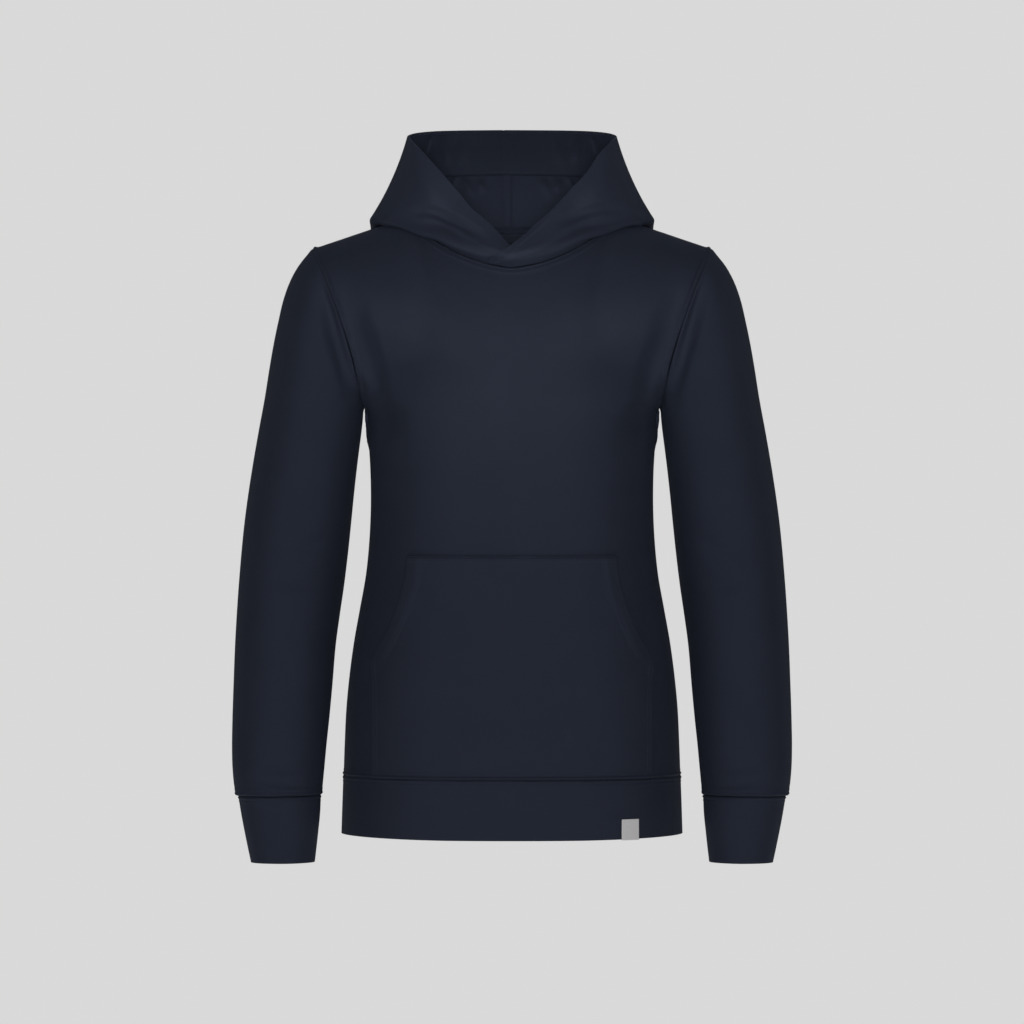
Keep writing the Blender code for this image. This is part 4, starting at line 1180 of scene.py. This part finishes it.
FINISHES = {"label_cloth": [label_white], "tape_cloth": [tape_navy]}
for name, piece in made.items():
    piece.data.materials.clear()
    for material in FINISHES.get(name, [thread_navy] if "stitches" in name else [fleece_face, fleece_back]):
        piece.data.materials.append(material)
print("finished", len(made), "pieces")

# %% [markdown]
# ## What each piece is
# Every piece rides on the one body. Each piece of cloth stands for its CAD wall, which is hidden, and its
# flat size and area are printed. The rows of stitches lie on the cloth and stand for no wall.

LEAST_FLAT = 10.5 * MM  # a sheet's sides are stated as no shorter than this
MOST_OF_FLAT = 0.999  # and its area as no more than this share of them
for name, piece in made.items():
    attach(piece, "root")
    if name in STANDS_FOR:
        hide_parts(STANDS_FOR[name])
        points = CUTS[name]
        width = lengths_along(points, 1)[:, -1].max()
        length = lengths_along(points, 0)[-1].max()
        sides = np.cross(points[1:, 1:] - points[:-1, :-1], points[1:, :-1] - points[:-1, 1:])
        area = np.linalg.norm(sides, axis=-1).sum() / 2
        width, length = round(max(width, LEAST_FLAT), 4), round(max(length, LEAST_FLAT), 4)
        area = round(min(area, MOST_OF_FLAT * width * length), 6)
        print(name, width, length, area)

# %% [markdown]
# ## Floor and light
# A pale floor lies far below the garment. Dark cloth shows its folds only where light grazes it, so five
# soft lights share the work: a sun in front, small panels for chest and hood, a panel above and a sun
# behind. The pale room around them fills in the rest.

# %% Stage
FLOOR_Z = -1.35
FLOOR_RADIUS = 3.6
FLOOR_GREY = 0.45
FLOOR_GLOW = 0.225  # the floor's own light on the garment
SEEN_GLOW = 0.22  # and how much brighter it is where it is looked at
bpy.ops.object.select_all(action="DESELECT")
bpy.ops.mesh.primitive_circle_add(vertices=96, radius=FLOOR_RADIUS, fill_type="NGON", location=(0, 0, 0))
floor = bpy.context.object
floor.name = "floor"
for vertex in floor.data.vertices:
    vertex.co.z = FLOOR_Z
floor_pale = bpy.data.materials.new("floor_pale")
floor_pale.use_nodes = True
tree = floor_pale.node_tree
shader = fill_in(
    tree.nodes["Principled BSDF"], Roughness=0.8,
    Base_Color=(FLOOR_GREY, FLOOR_GREY, FLOOR_GREY, 1), Emission_Color=(1, 1, 1, 1),
)
rays = tree.nodes.new("ShaderNodeLightPath")
glow = math_node(tree, "MULTIPLY_ADD", rays.outputs["Is Camera Ray"], SEEN_GLOW, FLOOR_GLOW)
tree.links.new(glow, shader.inputs["Emission Strength"])
floor.data.materials.append(floor_pale)
print("floor at", FLOOR_Z)

# %% Lights
PALE = 0.694
ROOM_FILL = 0.08
world = bpy.data.worlds.new("pale_room")
bpy.context.scene.world = world
world.use_nodes = True
tree = world.node_tree
seen = fill_in(tree.nodes["Background"], Color=(PALE, PALE, PALE, 1))
fill = fill_in(tree.nodes.new("ShaderNodeBackground"), Color=(ROOM_FILL, ROOM_FILL, ROOM_FILL, 1))
rays = tree.nodes.new("ShaderNodeLightPath")
either = tree.nodes.new("ShaderNodeMixShader")
tree.links.new(rays.outputs["Is Camera Ray"], either.inputs["Fac"])
tree.links.new(fill.outputs[0], either.inputs[1])
tree.links.new(seen.outputs[0], either.inputs[2])
tree.links.new(either.outputs[0], tree.nodes["World Output"].inputs["Surface"])
bpy.context.scene.view_settings.view_transform = "Standard"


def soft_light(kind, name, place, target, power, size, spread=180, gloss=True):
    """A soft light without a visible shape: a sun with an angle in degrees, or a square panel with a side."""
    bpy.ops.object.select_all(action="DESELECT")
    bpy.ops.object.light_add(type=kind, location=place)
    lamp = bpy.context.object
    lamp.name = name
    lamp.data.energy = power
    if kind == "SUN":
        lamp.data.angle = math.radians(size)
    else:
        lamp.data.size = size
        lamp.data.spread = math.radians(spread)
    lamp.rotation_euler = (Vector(target) - Vector(place)).to_track_quat("-Z", "Y").to_euler()
    lamp.visible_camera = False
    lamp.visible_glossy = gloss


soft_light("SUN", "front_light", (0.0, -4.0, 0.2), (0.0, 0.0, 0.0), 0.88, 15)
soft_light("AREA", "chest_light", (0.0, -1.3, -0.05), (0.0, 0.1, -0.05), 0.115, 0.3, 50)
soft_light("AREA", "hood_light", (0.0, -1.0, -0.10), (0.0, 0.1, 0.02), 0.088, 0.25, 35)
soft_light("AREA", "top_light", (0.0, -0.6, 1.2), (0.0, 0.0, 0.0), 0.60, 1.0)
soft_light("SUN", "back_light", (0.0, 4.0, 1.6), (0.0, 0.0, 0.0), 0.90, 20, gloss=False)
print("stage ready")
